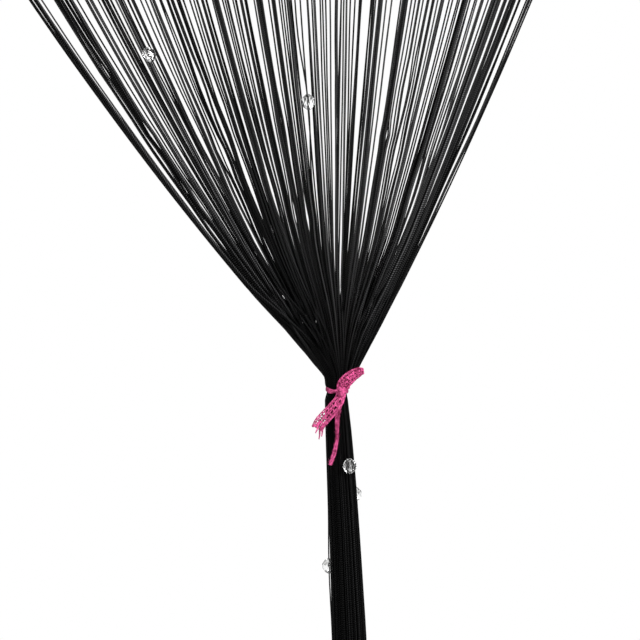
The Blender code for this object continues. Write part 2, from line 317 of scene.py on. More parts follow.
class Tubes:
    """Yarns and cords as round tubes, gathered into one mesh with its own yarn coordinates."""

    def __init__(self, sides: int) -> None:
        """Starts an empty batch of tubes with that many sides."""
        self.sides = sides
        self.points: list[Points] = []
        self.faces: list[list[int]] = []
        self.coordinates: list[Points] = []
        self.tones: list[Points] = []
        self.count = 0

    @staticmethod
    def frames(paths: Points, steady: Sequence[float]) -> tuple[Points, Points]:
        """Two directions square to each path at each point.

        Args:
            paths: An array of paths by points by three coordinates.
            steady: A direction that no path runs along.

        Returns:
            The first direction, and the second, which is square to it.
        """
        tangents = np.gradient(paths, axis=1)
        tangents /= np.linalg.norm(tangents, axis=2, keepdims=True)
        first = np.cross(tangents, np.array(steady, float))
        first /= np.linalg.norm(first, axis=2, keepdims=True)
        return first, np.cross(first, tangents)

    def add(
        self,
        paths: Points,
        radii: Points,
        steady: Sequence[float] = (0.0, 1.0, 0.0),
        tones: Sequence[float] | None = None,
    ) -> None:
        """Adds tubes along paths that all have the same number of points.

        Args:
            paths: An array of paths by points by three coordinates, or one path.
            radii: A radius for all, or an array that fits paths by points.
            steady: A direction that no path runs along.
            tones: How light each yarn is, 0 to 1, or each of its points; 0.5 where it is left out.
        """
        paths = np.asarray(paths, float)
        if paths.ndim == 2:
            paths = paths[None]
        many, rows = paths.shape[:2]
        radii = np.broadcast_to(np.asarray(radii, float), (many, rows))
        first, second = self.frames(paths, steady)
        turns = np.arange(self.sides) / self.sides * math.tau
        ring = first[:, :, None] * np.cos(turns)[:, None] + second[:, :, None] * np.sin(turns)[:, None]
        self.points.append((paths[:, :, None] + ring * radii[:, :, None, None]).reshape(-1, 3))
        steps = np.linalg.norm(np.diff(paths, axis=1), axis=2)
        along = np.concatenate([np.zeros((many, 1)), np.cumsum(steps, axis=1)], axis=1)
        corner = np.arange(self.sides)
        beside = (corner + 1) % self.sides
        tube = np.arange(many)[:, None, None]
        row = np.arange(rows - 1)[None, :, None]
        low = self.count + (tube * rows + row) * self.sides
        quads = np.stack(
            [low + corner, low + beside, low + self.sides + beside, low + self.sides + corner], axis=-1
        )
        self.faces.extend(quads.reshape(-1, 4).tolist())
        round_low = np.broadcast_to(corner / self.sides, (many, rows - 1, self.sides))
        round_high = round_low + 1.0 / self.sides
        along_low = np.broadcast_to(along[:, :-1, None], round_low.shape)
        along_high = np.broadcast_to(along[:, 1:, None], round_low.shape)
        corners = [
            (round_low, along_low), (round_high, along_low), (round_high, along_high), (round_low, along_high)
        ]
        self.coordinates.append(
            np.stack([np.stack(pair, axis=-1) for pair in corners], axis=-2).reshape(-1, 2)
        )
        for index in range(many):
            base = self.count + index * rows * self.sides
            last = base + (rows - 1) * self.sides
            self.faces.append([base + k for k in reversed(range(self.sides))])
            self.faces.append([last + k for k in range(self.sides)])
            for reached in (along[index, 0], along[index, -1]):
                self.coordinates.append(np.full((self.sides, 2), (0.5, reached)))
        given = np.full((many, 1), 0.5) if tones is None else np.reshape(tones, (many, -1))
        self.tones.append(np.repeat(np.broadcast_to(given, (many, rows)).ravel(), self.sides))
        self.count += many * rows * self.sides

    def build(self, name: str, material: bpy.types.Material) -> bpy.types.Object:
        """Makes the object.

        Args:
            name: The piece's name.
            material: Its finish.

        Returns:
            The new object, linked to the scene.
        """
        mesh = bpy.data.meshes.new(name)
        mesh.from_pydata(np.concatenate(self.points), [], self.faces)
        layer = mesh.uv_layers.new(name=YARN_COORDINATES)
        layer.data.foreach_set("uv", np.concatenate(self.coordinates).astype(np.float32).ravel())
        tone = mesh.attributes.new(YARN_TONE, "FLOAT", "POINT")
        tone.data.foreach_set("value", np.concatenate(self.tones).astype(np.float32))
        return finish_piece(name, mesh, material)


def finish_piece(
    name: str, mesh: bpy.types.Mesh, material: bpy.types.Material, smooth: bool = True
) -> bpy.types.Object:
    """Makes an object of a mesh and links it to the scene.

    Args:
        name: The piece's name.
        mesh: Its mesh.
        material: Its finish.
        smooth: Whether its faces are shaded smooth.

    Returns:
        The new object.
    """
    mesh.polygons.foreach_set("use_smooth", np.full(len(mesh.polygons), smooth))
    mesh.materials.append(material)
    mesh.update()
    piece = bpy.data.objects.new(name, mesh)
    bpy.context.scene.collection.objects.link(piece)
    return piece


class NodePen:
    """Places and links shader nodes, in a material or in a group."""

    def __init__(self, tree: bpy.types.NodeTree) -> None:
        """Starts on a node tree."""
        self.tree = tree

    def add(self, kind: str, inputs: dict | None = None, **settings: object) -> bpy.types.Node:
        """Adds a node.

        Args:
            kind: The node's type name, without its Shader prefix.
            inputs: Values or sockets for its inputs, by name or number.
            **settings: Its own settings.

        Returns:
            The node.
        """
        node = self.tree.nodes.new("ShaderNode" + kind)
        for name, value in settings.items():
            setattr(node, name, value)
        for key, value in (inputs or {}).items():
            self.give(node.inputs[key], value)
        return node

    def give(self, socket: bpy.types.NodeSocket, value: object) -> None:
        """Links a socket to another, or sets its value."""
        if isinstance(value, bpy.types.NodeSocket):
            self.tree.links.new(value, socket)
        else:
            socket.default_value = value

    def math(self, operation: str, *values: object) -> bpy.types.NodeSocket:
        """A Math node's result."""
        return self.add("Math", dict(enumerate(values)), operation=operation).outputs[0]

    def blend(self, share: object, low: object, high: object) -> bpy.types.NodeSocket:
        """A colour between two others."""
        node = self.add("Mix", data_type="RGBA")
        self.give(node.inputs[0], share)
        self.give(node.inputs[6], low)
        self.give(node.inputs[7], high)
        return node.outputs[2]

    def spread(self, value: object, low: float, high: float) -> bpy.types.NodeSocket:
        """A number from 0 to 1 spread over another range."""
        return self.math("MULTIPLY_ADD", value, high - low, low)


def new_group(name: str, inputs: dict[str, float], outputs: Sequence[str]) -> tuple:
    """Starts a shader node group of numbers.

    Args:
        name: The group's name.
        inputs: Its inputs' names and values.
        outputs: Its outputs' names.

    Returns:
        The group, a pen on it, its input node and its output node.
    """
    group = bpy.data.node_groups.new(name, "ShaderNodeTree")
    for label, value in inputs.items():
        socket = group.interface.new_socket(label, in_out="INPUT", socket_type="NodeSocketFloat")
        socket.default_value = value
    for label in outputs:
        group.interface.new_socket(label, in_out="OUTPUT", socket_type="NodeSocketFloat")
    enter = group.nodes.new("NodeGroupInput")
    leave = group.nodes.new("NodeGroupOutput")
    return group, NodePen(group), enter, leave


class Effects:
    """The surface effects that several finishes share, each a node group built once."""

    RIDGE_FULLNESS = 2.2
    FIBRE_STRETCH = (1.0, 1.0, 0.28)

    def __init__(self) -> None:
        """Builds the groups."""
        self.twist = self.build_twist()
        self.fibre = self.build_fibre()

    def build_twist(self) -> bpy.types.NodeTree:
        """Plies that wind round a yarn: slanting rows of ridges, 1 on top and 0 where two plies meet."""
        inputs = {"Around": 0.0, "Along": 0.0, "Ply Length": 0.0024, "Plies": 2.0}
        group, pen, enter, leave = new_group("Yarn Twist", inputs, ("Ridge",))
        wound = pen.math("MULTIPLY", enter.outputs["Around"], enter.outputs["Plies"])
        risen = pen.math("DIVIDE", enter.outputs["Along"], enter.outputs["Ply Length"])
        turned = pen.math("MULTIPLY_ADD", risen, enter.outputs["Plies"], wound)
        place = pen.math("FRACT", turned)
        off_middle = pen.math("ABSOLUTE", pen.math("MULTIPLY_ADD", place, 2.0, -1.0))
        ridge = pen.math("SUBTRACT", 1.0, pen.math("POWER", off_middle, self.RIDGE_FULLNESS))
        pen.give(leave.inputs["Ridge"], ridge)
        return group

    def build_fibre(self) -> bpy.types.NodeTree:
        """Fine fibres and slow unevenness, from the piece's own coordinates."""
        inputs = {"Fineness": 2600.0, "Patches": 18.0}
        group, pen, enter, leave = new_group("Fibre Grain", inputs, ("Fibres", "Unevenness"))
        place = pen.add("TexCoord").outputs["Object"]
        drawn_out = pen.add("Mapping", {"Vector": place, "Scale": self.FIBRE_STRETCH}).outputs[0]
        fine = pen.add("TexNoise", {"Vector": drawn_out, "Scale": enter.outputs["Fineness"], "Detail": 2.0})
        slow = pen.add("TexNoise", {"Vector": place, "Scale": enter.outputs["Patches"], "Detail": 1.0})
        pen.give(leave.inputs["Fibres"], fine.outputs[0])
        pen.give(leave.inputs["Unevenness"], slow.outputs[0])
        return group


def start_material(name: str) -> tuple[bpy.types.Material, NodePen, bpy.types.Node]:
    """A new material with its pen and its Principled BSDF."""
    material = bpy.data.materials.new(name)
    material.use_nodes = True
    return material, NodePen(material.node_tree), material.node_tree.nodes["Principled BSDF"]


Colour = tuple[float, float, float, float]


@dataclass(frozen=True)
class YarnFinish:
    """Twisted yarn: plies with creases, fibres, and a tone that changes from yarn to yarn, with a painted
    highlight on the ply ridges and painted shade in the creases.
    """

    name: str
    # deep is the painted shade in the creases between plies, bright the painted highlight on the ply ridges.
    deep: Colour
    bright: Colour
    ply_length: float
    relief: float
    painted_highlight_sharpness: float
    gloss: float
    roughness: tuple[float, float] = (0.42, 0.66)
    patches: float = 18.0
    patchiness: tuple[float, float] = (0.75, 1.25)
    fibre_light: tuple[float, float] = (0.55, 1.25)
    fibre_relief: float = 0.25

    def material(self, effects: Effects) -> bpy.types.Material:
        """Builds the material.

        Args:
            effects: The shared node groups.

        Returns:
            The yarn's material.
        """
        material, pen, shader = start_material(self.name)
        lengthwise = pen.add("UVMap", uv_map=YARN_COORDINATES)
        parts = pen.add("SeparateXYZ", {"Vector": lengthwise.outputs[0]})
        twist = pen.add("Group", node_tree=effects.twist)
        pen.give(twist.inputs["Around"], parts.outputs["X"])
        pen.give(twist.inputs["Along"], parts.outputs["Y"])
        twist.inputs["Ply Length"].default_value = self.ply_length
        fibre = pen.add("Group", node_tree=effects.fibre)
        fibre.inputs["Patches"].default_value = self.patches
        tone = pen.add("Attribute", attribute_name=YARN_TONE).outputs["Fac"]
        ridge = twist.outputs["Ridge"]
        fibres = fibre.outputs["Fibres"]
        lit = pen.math("MULTIPLY", tone, pen.spread(fibres, *self.fibre_light))
        # Painted highlight and shade: the colour goes towards bright on the ply ridges and towards deep in
        # the creases where plies meet.
        shown = pen.math("MULTIPLY", lit, pen.math("POWER", ridge, self.painted_highlight_sharpness))
        uneven = pen.math("MULTIPLY", shown, pen.spread(fibre.outputs["Unevenness"], *self.patchiness))
        pen.give(shader.inputs["Base Color"], pen.blend(uneven, self.deep, self.bright))
        pen.give(shader.inputs["Roughness"], pen.spread(fibres, *self.roughness))
        height = pen.math("MULTIPLY_ADD", fibres, self.fibre_relief, ridge)
        bump = pen.add("Bump", {"Height": height, "Distance": self.relief, "Strength": 1.0})
        pen.give(shader.inputs["Normal"], bump.outputs[0])
        shader.inputs["Specular IOR Level"].default_value = self.gloss
        return material


@dataclass(frozen=True)
class BandFinish:
    """The heading's woven cloth: fine crosswise picks over the warp ribs."""

    name: str = "woven_band"
    deep: Colour = (0.006, 0.006, 0.0065, 1.0)
    bright: Colour = (0.030, 0.030, 0.032, 1.0)
    picks_per_metre: float = 1400.0
    relief: float = 0.00022
    pick_light: tuple[float, float] = (0.5, 1.0)
    patchiness: tuple[float, float] = (0.5, 1.1)
    fibre_light: tuple[float, float] = (0.6, 1.2)
    roughness: tuple[float, float] = (0.55, 0.85)
    fibre_relief: float = 0.4
    sheen: float = 0.2

    def material(self, effects: Effects) -> bpy.types.Material:
        """Builds the material.

        Args:
            effects: The shared node groups.

        Returns:
            The band's material.
        """
        material, pen, shader = start_material(self.name)
        place = pen.add("TexCoord").outputs["Object"]
        parts = pen.add("SeparateXYZ", {"Vector": place})
        wave = pen.math("SINE", pen.math("MULTIPLY", parts.outputs["Z"], self.picks_per_metre * math.tau))
        pick = pen.spread(wave, *self.pick_light)
        fibre = pen.add("Group", node_tree=effects.fibre)
        fibres = fibre.outputs["Fibres"]
        shown = pen.math("MULTIPLY", pick, pen.spread(fibre.outputs["Unevenness"], *self.patchiness))
        lit = pen.math("MULTIPLY", shown, pen.spread(fibres, *self.fibre_light))
        pen.give(shader.inputs["Base Color"], pen.blend(lit, self.deep, self.bright))
        pen.give(shader.inputs["Roughness"], pen.spread(fibres, *self.roughness))
        height = pen.math("MULTIPLY_ADD", fibres, self.fibre_relief, pick)
        bump = pen.add("Bump", {"Height": height, "Distance": self.relief, "Strength": 1.0})
        pen.give(shader.inputs["Normal"], bump.outputs[0])
        shader.inputs["Sheen Weight"].default_value = self.sheen
        return material


@dataclass(frozen=True)
class GlassFinish:
    """Clear cut glass with faint smudges."""

    name: str = "clear_glass"
    colour: Colour = (0.985, 0.99, 0.99, 1.0)
    bending: float = 1.54
    smudges_per_metre: float = 420.0
    smudge_contrast: float = 3.0
    smudge_roughness: float = 0.12

    def material(self) -> bpy.types.Material:
        """Builds the material."""
        material, pen, shader = start_material(self.name)
        place = pen.add("TexCoord").outputs["Object"]
        smudge = pen.add("TexNoise", {"Vector": place, "Scale": self.smudges_per_metre, "Detail": 3.0})
        faint = pen.math("POWER", smudge.outputs[0], self.smudge_contrast)
        pen.give(shader.inputs["Roughness"], pen.spread(faint, 0.0, self.smudge_roughness))
        shader.inputs["Base Color"].default_value = self.colour
        shader.inputs["IOR"].default_value = self.bending
        shader.inputs["Transmission Weight"].default_value = 1.0
        return material


@dataclass
class StringPlan:
    """Where each string runs: with the photograph's gaps, through the tie, and down to its end.

    A string is led straight from its place at the photograph's top edge to its place in the neck. The
    neck places are solved so that the gaps close at the heights where the photograph's do.
    """

    outline: Outline
    photo: Photograph
    count: int = 300
    thickness: float = 0.00096
    seed: int = 7
    golden: float = (math.sqrt(5.0) - 1.0) / 2.0
    packing_height: float = 0.060
    unevenness: float = 0.42
    lens_reach: float = 0.0045
    drift_unevenness: float = 0.8
    lock_weight: float = 0.6
    anchor_weight: float = 0.10
    edge_anchor_weight: float = 3.0
    lean: float = 0.0040
    lean_leftward: float = 1.15
    evening_low: float = 0.030
    evening_high: float = 0.090
    late_share: float = 0.48
    edge_rounding: float = 0.0005
    squeeze: float = 0.22
    squeeze_deep: float = 0.05
    squeeze_shift: float = 0.0005
    squeeze_reach: float = 0.0024
    cut_unevenness: float = 0.0025
    tone_spread: tuple[float, float] = (0.5, 1.3)
    waves: tuple[tuple[float, float], ...] = ((0.5, 0.41), (0.3, 0.17), (0.2, 0.083))
    fan_wave: float = 0.0009
    fan_wave_out: float = 0.0004
    fan_wave_fades: tuple[float, float] = (0.35, 0.30)
    neck_wave: float = 0.00015
    neck_wave_height: float = 0.08
    least_roundness: float = 0.15
    bundle_wave: float = 0.0016
    bundle_lock_drift: float = 0.0012
    bundle_loosens: float = 0.9

    def __post_init__(self) -> None:
        """Shares the strings out over the locks and works out what each one needs."""
        self.draw = np.random.RandomState(self.seed)
        self.top_height = self.photo.z(0.0) - self.outline.neck_z
        self.top_width = float(self.width_at(self.top_height))
        self.neck_width = float(self.width_at(0.0))
        self.order = (np.arange(self.count) + 0.5) / self.count
        self.place_strings()
        self.aim_at_neck()
        self.deep = np.modf(np.arange(1, self.count + 1) * self.golden)[0] * 2.0 - 1.0
        self.packed = self.even_area((np.argsort(np.argsort(self.neck_places)) + 0.5) / self.count)
        free = np.array([self.outline.free_length(place) for place in self.order])
        self.free = free - np.abs(self.draw.normal(0.0, self.cut_unevenness, self.count))
        self.tones = self.draw.beta(*self.tone_spread, self.count)
        self.wander = [self.draw.uniform(0.0, math.tau, self.count) for _ in range(2 * len(self.waves))]
        self.strengths = self.draw.uniform(0.3, 1.0, self.count)
        self.lock_drift = self.draw.normal(0.0, 1.0, (len(GAPS) + 1, 2))

    def width_at(self, height: Points) -> Points:
        """The fan's width at each height above the neck."""
        left, right = self.outline.edges(self.outline.neck_z + np.asarray(height))
        return right - left

    def opened(self, height: Points) -> Points:
        """How far the fan has opened at each height: 0 at the neck, 1 at the photograph's top edge."""
        return (self.width_at(height) - self.neck_width) / (self.top_width - self.neck_width)

    def place_strings(self) -> None:
        """Fills each lock between two gaps with strings, more where it is wide."""
        starts = np.array([0.0] + [gap.at + gap.wide for gap in GAPS])
        ends = np.array([gap.at for gap in GAPS] + [THOUSAND])
        spare = np.maximum(0.0, (ends - starts) / THOUSAND * self.top_width - self.thickness)
        low, high = 0.0, self.count / spare.sum() * 2.0
        for _ in range(HALVINGS):
            rate = (low + high) / 2.0
            if (1 + np.round(spare * rate)).sum() < self.count:
                low = rate
            else:
                high = rate
        counts = (1 + np.round(spare * high)).astype(int)
        counts[np.argmax(counts)] += self.count - counts.sum()
        self.lock_of = np.repeat(np.arange(len(counts)), counts)
        places = []
        for start, room, many in zip(starts, spare, counts):
            steps = 1.0 + self.unevenness * self.draw.uniform(-1.0, 1.0, many - 1)
            inside = np.concatenate([[0.0], np.cumsum(steps)]) / max(steps.sum(), 1.0)
            first = start / THOUSAND * self.top_width + self.thickness / 2.0
            places.append(first + inside * (room if many > 1 else 0.0))
        self.top_places = np.concatenate(places) / self.top_width

    def aim_at_neck(self) -> None:
        """Solves where each string reaches the neck.

        Two strings beside a gap must touch where it closes. Strings inside a lock keep their distance.
        All of them stay near their even places, with those in the middle leaning to the left.
        """
        steps = np.diff(self.top_places)
        gap_after = np.flatnonzero(np.diff(self.lock_of))
        needed = steps * (self.top_width - self.neck_width)
        needed = needed * (1.0 + self.drift_unevenness * self.draw.uniform(-1.0, 1.0, len(needed)))
        weights = np.full(self.count - 1, self.lock_weight)
        for gap, index in zip(GAPS, gap_after):
            closes = gap.closes * MM
            shut = 1.0 - float(self.opened(closes))
            apart = float(self.width_at(closes)) * steps[index] - self.thickness
            needed[index] = -apart / shut
            weights[index] = shut
        rows = np.zeros((2 * self.count - 1, self.count))
        index = np.arange(self.count - 1)
        rows[index, index] = -weights
        rows[index, index + 1] = weights
        anchors = np.full(self.count, self.anchor_weight)
        anchors[[0, -1]] = self.edge_anchor_weight
        rows[np.arange(self.count) + self.count - 1, np.arange(self.count)] = anchors
        leaning = -self.lean * np.sin(np.clip(self.order * self.lean_leftward, 0.0, 1.0) * math.pi)
        wanted = np.concatenate([needed * weights, leaning * anchors])
        self.aside = np.linalg.lstsq(rows, wanted, rcond=None)[0]
        self.neck_places = self.top_places * self.neck_width + self.aside

    @staticmethod
    def even_area(order: Points) -> Points:
        """Places across a round bundle, -1 to 1, that pack the strings evenly."""
        across = np.linspace(-1.0, 1.0, 2001)
        area = 0.5 + (across * np.sqrt(1.0 - across**2) + np.arcsin(across)) / math.pi
        return np.interp(order, area, across)

    def fan_offsets(self, height: Points) -> Points:
        """How far each string is from the fan's left edge at each height above the neck.

        Args:
            height: Heights above the neck, none below zero.

        Returns:
            An array of strings by heights.
        """
        width = self.width_at(height)
        evenly = self.order[:, None] * width
        opened = self.opened(height)
        apart = (self.top_places - self.order)[:, None] * width + self.aside[:, None] * (1.0 - opened)
        above = smooth_step((height - self.top_height) / (NECK_DROP - self.top_height))
        offsets = evenly + apart * (1.0 - above)
        for gap in LATE_GAPS:
            offsets = self.push_aside(offsets, gap, height, width)
        ranks = np.argsort(np.argsort(offsets, axis=0), axis=0)
        filled = (ranks + 0.5) / self.count * width
        room = self.evening_high - self.evening_low
        loose = smooth_step((height - self.evening_low) / room)
        return filled + (offsets - filled) * loose

    def push_aside(self, offsets: Points, gap: Gap, height: Points, width: Points) -> Points:
        """Opens a gap lower down by pushing the strings on both sides of it gently apart.

        Args:
            offsets: Each string's offset from the left edge at each height.
            gap: The gap.
            height: Heights above the neck.
            width: The fan's width at each height.

        Returns:
            The changed offsets.
        """
        low, high = gap.closes * MM, gap.opens * MM
        share = (height - low) / (high - low)
        swell = np.where((share > 0.0) & (share < 1.0), np.sin(np.clip(share, 0.0, 1.0) * math.pi) ** 2, 0.0)
        middle = (gap.at + gap.wide / 2.0) / THOUSAND * width
        nearest = int(np.argmin(np.abs(share - 0.5)))
        side = np.where(offsets[:, nearest] > middle[nearest], 1.0, -1.0)[:, None]
        away = np.abs(offsets - middle)
        half = (gap.wide / THOUSAND * width * self.late_share + self.thickness) / 2.0
        return offsets + side * swell * half * np.exp(-((away / self.lens_reach) ** 2))

    def slow_waves(self, z: Points, other: bool = False) -> Points:
        """A gentle waviness of each string, about -1 to 1, and another one beside it."""
        total = np.zeros_like(z)
        phases = self.wander[len(self.waves):] if other else self.wander
        for (share, length), phase in zip(self.waves, phases):
            total += share * np.sin(z / length * math.tau + phase[:, None])
        return total * self.strengths[:, None]

    def paths(self, fan_heights: Points, falls: Points) -> Points:
        """Each string's points from the heading down to its end.

        Args:
            fan_heights: Heights above the neck, from the heading down to the neck.
            falls: Shares of the free length, from above 0 down to 1.

        Returns:
            An array of strings by points by three coordinates.
        """
        neck_z = self.outline.neck_z
        fan_z = np.broadcast_to(neck_z + fan_heights, (self.count, len(fan_heights)))
        free_z = neck_z - self.free[:, None] * falls
        z = np.concatenate([fan_z, free_z], axis=1)
        height = z - neck_z
        left, right = self.outline.edges(z)
        margin = self.thickness / 2.0
        half = (right - left) / 2.0 - margin
        middle = (right + left) / 2.0
        rounded_x = middle + half * self.packed[:, None]
        offsets = self.fan_offsets(fan_heights)
        fan_x = left + np.concatenate([offsets, np.zeros((self.count, len(falls)))], axis=1)
        fanned = smooth_step(height / self.packing_height)
        x = rounded_x + (fan_x - rounded_x) * fanned
        from_neck, from_heading = self.fan_wave_fades
        loose_fan = smooth_step(height / from_neck) * smooth_step((NECK_DROP - height) / from_heading)
        near_neck = smooth_step(height / self.neck_wave_height)
        x = x + self.slow_waves(z) * (self.neck_wave * near_neck + self.fan_wave * loose_fan)
        x = smooth_less(x, middle + half, self.edge_rounding)
        x = -smooth_less(-x, half - middle, self.edge_rounding)
        aside = np.clip((x - middle) / half, -1.0, 1.0)
        flatness = smooth_step(height / NECK_DROP)
        rounded = np.maximum(np.sqrt(1.0 - aside**2), self.least_roundness * fanned)
        reach = np.maximum(0.0, self.outline.depth(z) / 2.0 - margin)
        y = reach * self.deep[:, None] * (flatness + (1.0 - flatness) * rounded)
        y = y + self.slow_waves(z, other=True) * self.fan_wave_out * loose_fan
        below = smooth_step(-height / self.bundle_loosens)
        drift = self.lock_drift[self.lock_of] * self.bundle_lock_drift
        x = x + below * (self.slow_waves(z, other=True) * self.bundle_wave + drift[:, :1])
        y = y + below * (self.slow_waves(z) * self.bundle_wave + drift[:, 1:])
        tied = np.exp(-(((z - self.outline.tie_z) / self.squeeze_reach) ** 2))
        x = middle + (x - middle) * (1.0 - self.squeeze * tied) + self.squeeze_shift * tied
        y = y * (1.0 - self.squeeze_deep * tied)
        centre = self.photo.x(self.photo.side / 2.0)
        x = centre + (x - centre) * (1.0 + y / self.photo.distance)
        return np.stack([x, y, z], axis=-1)


class BeadSpot(NamedTuple):
    """Where a bead is, across and up, and on which face of the curtain."""

    x: float
    z: float
    face: Face


@dataclass
class StringFringe:
    """All the strings of yarn, in a few pieces."""

    plan: StringPlan
    finish: bpy.types.Material
    sides: int = 6
    pieces_count: int = 6
    into_heading: float = 0.004
    fan_rows: int = 84
    free_rows: int = 70
    tied_radius: float = 0.00031
    bundled_radius: float = 0.00040
    # Painted shade of the packed bundle: the share of each string's tone kept there, and the height over
    # which it comes back.
    painted_shade_bundle_tone: float = 0.12
    painted_shade_height: float = 0.11
    tied_reach: float = 0.022
    thickens_by: float = 0.10
    thickness_unevenness: float = 0.07
    thickness_waves: float = 6.0
    row_crowding: float = 1.7
    bead_pull: float = 0.050
    bead_outwards: float = 0.35
    bead_above_end: float = 0.03

    def heights(self) -> Points:
        """Heights above the neck of the fan's rows, closer together towards the neck."""
        shares = np.linspace(1.0, 0.0, self.fan_rows)
        return (NECK_DROP + self.into_heading) * shares**self.row_crowding

    def falls(self) -> Points:
        """Shares of the free length at which its rows lie, closer together near the tie."""
        return np.linspace(0.0, 1.0, self.free_rows + 1)[1:] ** self.row_crowding

    def lay(self, spots: Sequence[BeadSpot], bead_radius: float) -> list[tuple[Points, Points]]:
        """Works out the strings' paths and leads the beaded ones through their beads.

        Args:
            spots: Where the beads are.
            bead_radius: Half a bead's width.

        Returns:
            For each bead its centre and its string's direction there.
        """
        self.lines = self.plan.paths(self.heights(), self.falls())
        taken: set[int] = set()
        threaded = []
        for spot in spots:
            index = self.nearest(spot, taken)
            taken.add(index)
            line = self.lines[index]
            order = np.argsort(line[:, 2])
            here = np.array([np.interp(spot.z, line[order, 2], line[order, k]) for k in range(3)])
            target = np.array([spot.x, self.clear_y(spot, bead_radius), spot.z])
            reach = (line[:, 2] - spot.z) / self.bead_pull
            pull = np.where(np.abs(reach) < 1.0, np.cos(reach * math.pi / 2.0) ** 2, 0.0)
            self.lines[index] = line + pull[:, None] * (target - here)
            near = np.argsort(np.abs(self.lines[index][:, 2] - spot.z))[:2]
            ends = self.lines[index][np.sort(near)]
            direction = ends[0] - ends[1]
            threaded.append((target, direction / np.linalg.norm(direction)))
        return threaded

    def nearest(self, spot: BeadSpot, taken: set[int]) -> int:
        """The string without a bead that passes closest to a spot, on the bead's face of the curtain.

        Args:
            spot: Where the bead is.
            taken: The strings that carry a bead already.

        Returns:
            The string's number.
        """
        best, best_off = 0, math.inf
        for index, line in enumerate(self.lines):
            if index in taken or self.plan.deep[index] * spot.face.value < self.bead_outwards:
                continue
            if line[-1, 2] > spot.z - self.bead_above_end:
                continue
            across = float(np.interp(-spot.z, -line[:, 2], line[:, 0]))
            if abs(across - spot.x) < best_off:
                best, best_off = index, abs(across - spot.x)
        return best

    def clear_y(self, spot: BeadSpot, bead_radius: float) -> float:
        """How far out a bead lies, so that it just touches the strings behind it."""
        left, right = self.plan.outline.edges(spot.z)
        across = np.clip((spot.x - left) / (right - left) * 2.0 - 1.0, -1.0, 1.0)
        flatness = smooth_step((spot.z - self.plan.outline.neck_z) / NECK_DROP)
        rounded = math.sqrt(max(0.0, 1.0 - float(across) ** 2))
        share = float(flatness + (1.0 - flatness) * rounded)
        surface = float(self.plan.outline.depth(spot.z)) / 2.0 * share
        return spot.face.value * (surface + bead_radius)

    def build(self) -> list[bpy.types.Object]:
        """Makes the strings' meshes."""
        height = self.lines[:, :, 2] - self.plan.outline.neck_z
        tied = np.exp(-(((height + TIE_BELOW_NECK) / self.tied_reach) ** 2))
        fanned = smooth_step(height / self.thickens_by)
        loose = self.bundled_radius + (self.plan.thickness / 2.0 - self.bundled_radius) * fanned
        radii = loose + (self.tied_radius - loose) * tied
        uneven = self.plan.slow_waves(self.lines[:, :, 2] * self.thickness_waves)
        radii = radii * (1.0 + self.thickness_unevenness * uneven)
        # Painted shade: each string's tone falls to a small share of itself near and below the neck, where
        # the packed strings shade each other.
        spread = smooth_step(height / self.painted_shade_height)
        tones = self.plan.tones[:, None] * (self.painted_shade_bundle_tone + (1.0 - self.painted_shade_bundle_tone) * spread)
        pieces = []
        for number, members in enumerate(np.array_split(np.arange(self.plan.count), self.pieces_count)):
            tubes = Tubes(self.sides)
            tubes.add(self.lines[members], radii[members], tones=tones[members])
            pieces.append(tubes.build(f"strings_{number + 1}", self.finish))
        return pieces


@dataclass
class GlassBeads:
    """Clear faceted beads, each threaded on a string through its hole."""

    finish: bpy.types.Material
    radius: float = 0.0040
    hole: float = 0.00055
    hole_flare: float = 1.9
    hole_depth: float = 0.9
    facets: int = 8
    belt_height: float = 0.36
    belt_radius: float = 1.0
    crown_height: float = 0.84
    crown_radius: float = 0.66
    tip_height: float = 1.12

    def cut(self) -> tuple[Points, list[list[int]]]:
        """One bead's points and faces, with its hole along Z.

        Returns:
            The points of a bead at the origin, and the faces between them.
        """
        rim = self.hole / self.radius
        flare, inner = rim * self.hole_flare, self.tip_height * self.hole_depth
        rings = (
            (flare, self.tip_height, 0.0),
            (self.crown_radius, self.crown_height, 0.5),
            (self.belt_radius, self.belt_height, 0.0),
            (self.belt_radius, -self.belt_height, 0.5),
            (self.crown_radius, -self.crown_height, 0.0),
            (flare, -self.tip_height, 0.5),
            (rim, -inner, 0.5),
            (rim, inner, 0.5),
        )
        points = []
        for radius, height, turn in rings:
            for k in range(self.facets):
                angle = (k + turn) / self.facets * math.tau
                points.append((radius * math.cos(angle), radius * math.sin(angle), height))
        faces = []
        for index in range(len(rings)):
            other = (index + 1) % len(rings)
            lean = rings[other][2] - rings[index][2]
            for k in range(self.facets):
                a = index * self.facets + k
                b = index * self.facets + (k + 1) % self.facets
                c = other * self.facets + k
                d = other * self.facets + (k + 1) % self.facets
                if lean > 0.0:
                    faces += [[a, c, b], [b, c, d]]
                elif lean < 0.0:
                    faces += [[a, c, d], [a, d, b]]
                else:
                    faces.append([a, c, d, b])
        return np.array(points) * self.radius, faces

    def build(self, threaded: Sequence[tuple[Points, Points]], seed: int = 3) -> bpy.types.Object:
        """Makes all the beads as one piece.

        Args:
            threaded: For each bead its centre and the direction of its hole.
            seed: The seed of each bead's turn about its string.

        Returns:
            The beads.
        """
        draw = np.random.RandomState(seed)
        shape, faces = self.cut()
        points, all_faces = [], []
        for index, (centre, direction) in enumerate(threaded):
            side = np.cross(direction, (0.0, 1.0, 0.0))
            side /= np.linalg.norm(side)
            front = np.cross(direction, side)
            turn = draw.uniform(0.0, math.tau)
            first = math.cos(turn) * side + math.sin(turn) * front
            second = np.cross(direction, first)
            points.append(centre + shape @ np.array([first, second, direction]))
            all_faces += [[corner + index * len(shape) for corner in face] for face in faces]
        mesh = bpy.data.meshes.new("glass_beads")
        mesh.from_pydata(np.concatenate(points), [], all_faces)
        tidy = bmesh.new()
        tidy.from_mesh(mesh)
        bmesh.ops.recalc_face_normals(tidy, faces=tidy.faces)
        tidy.to_mesh(mesh)
        tidy.free()
        return finish_piece("glass_beads", mesh, self.finish, smooth=False)


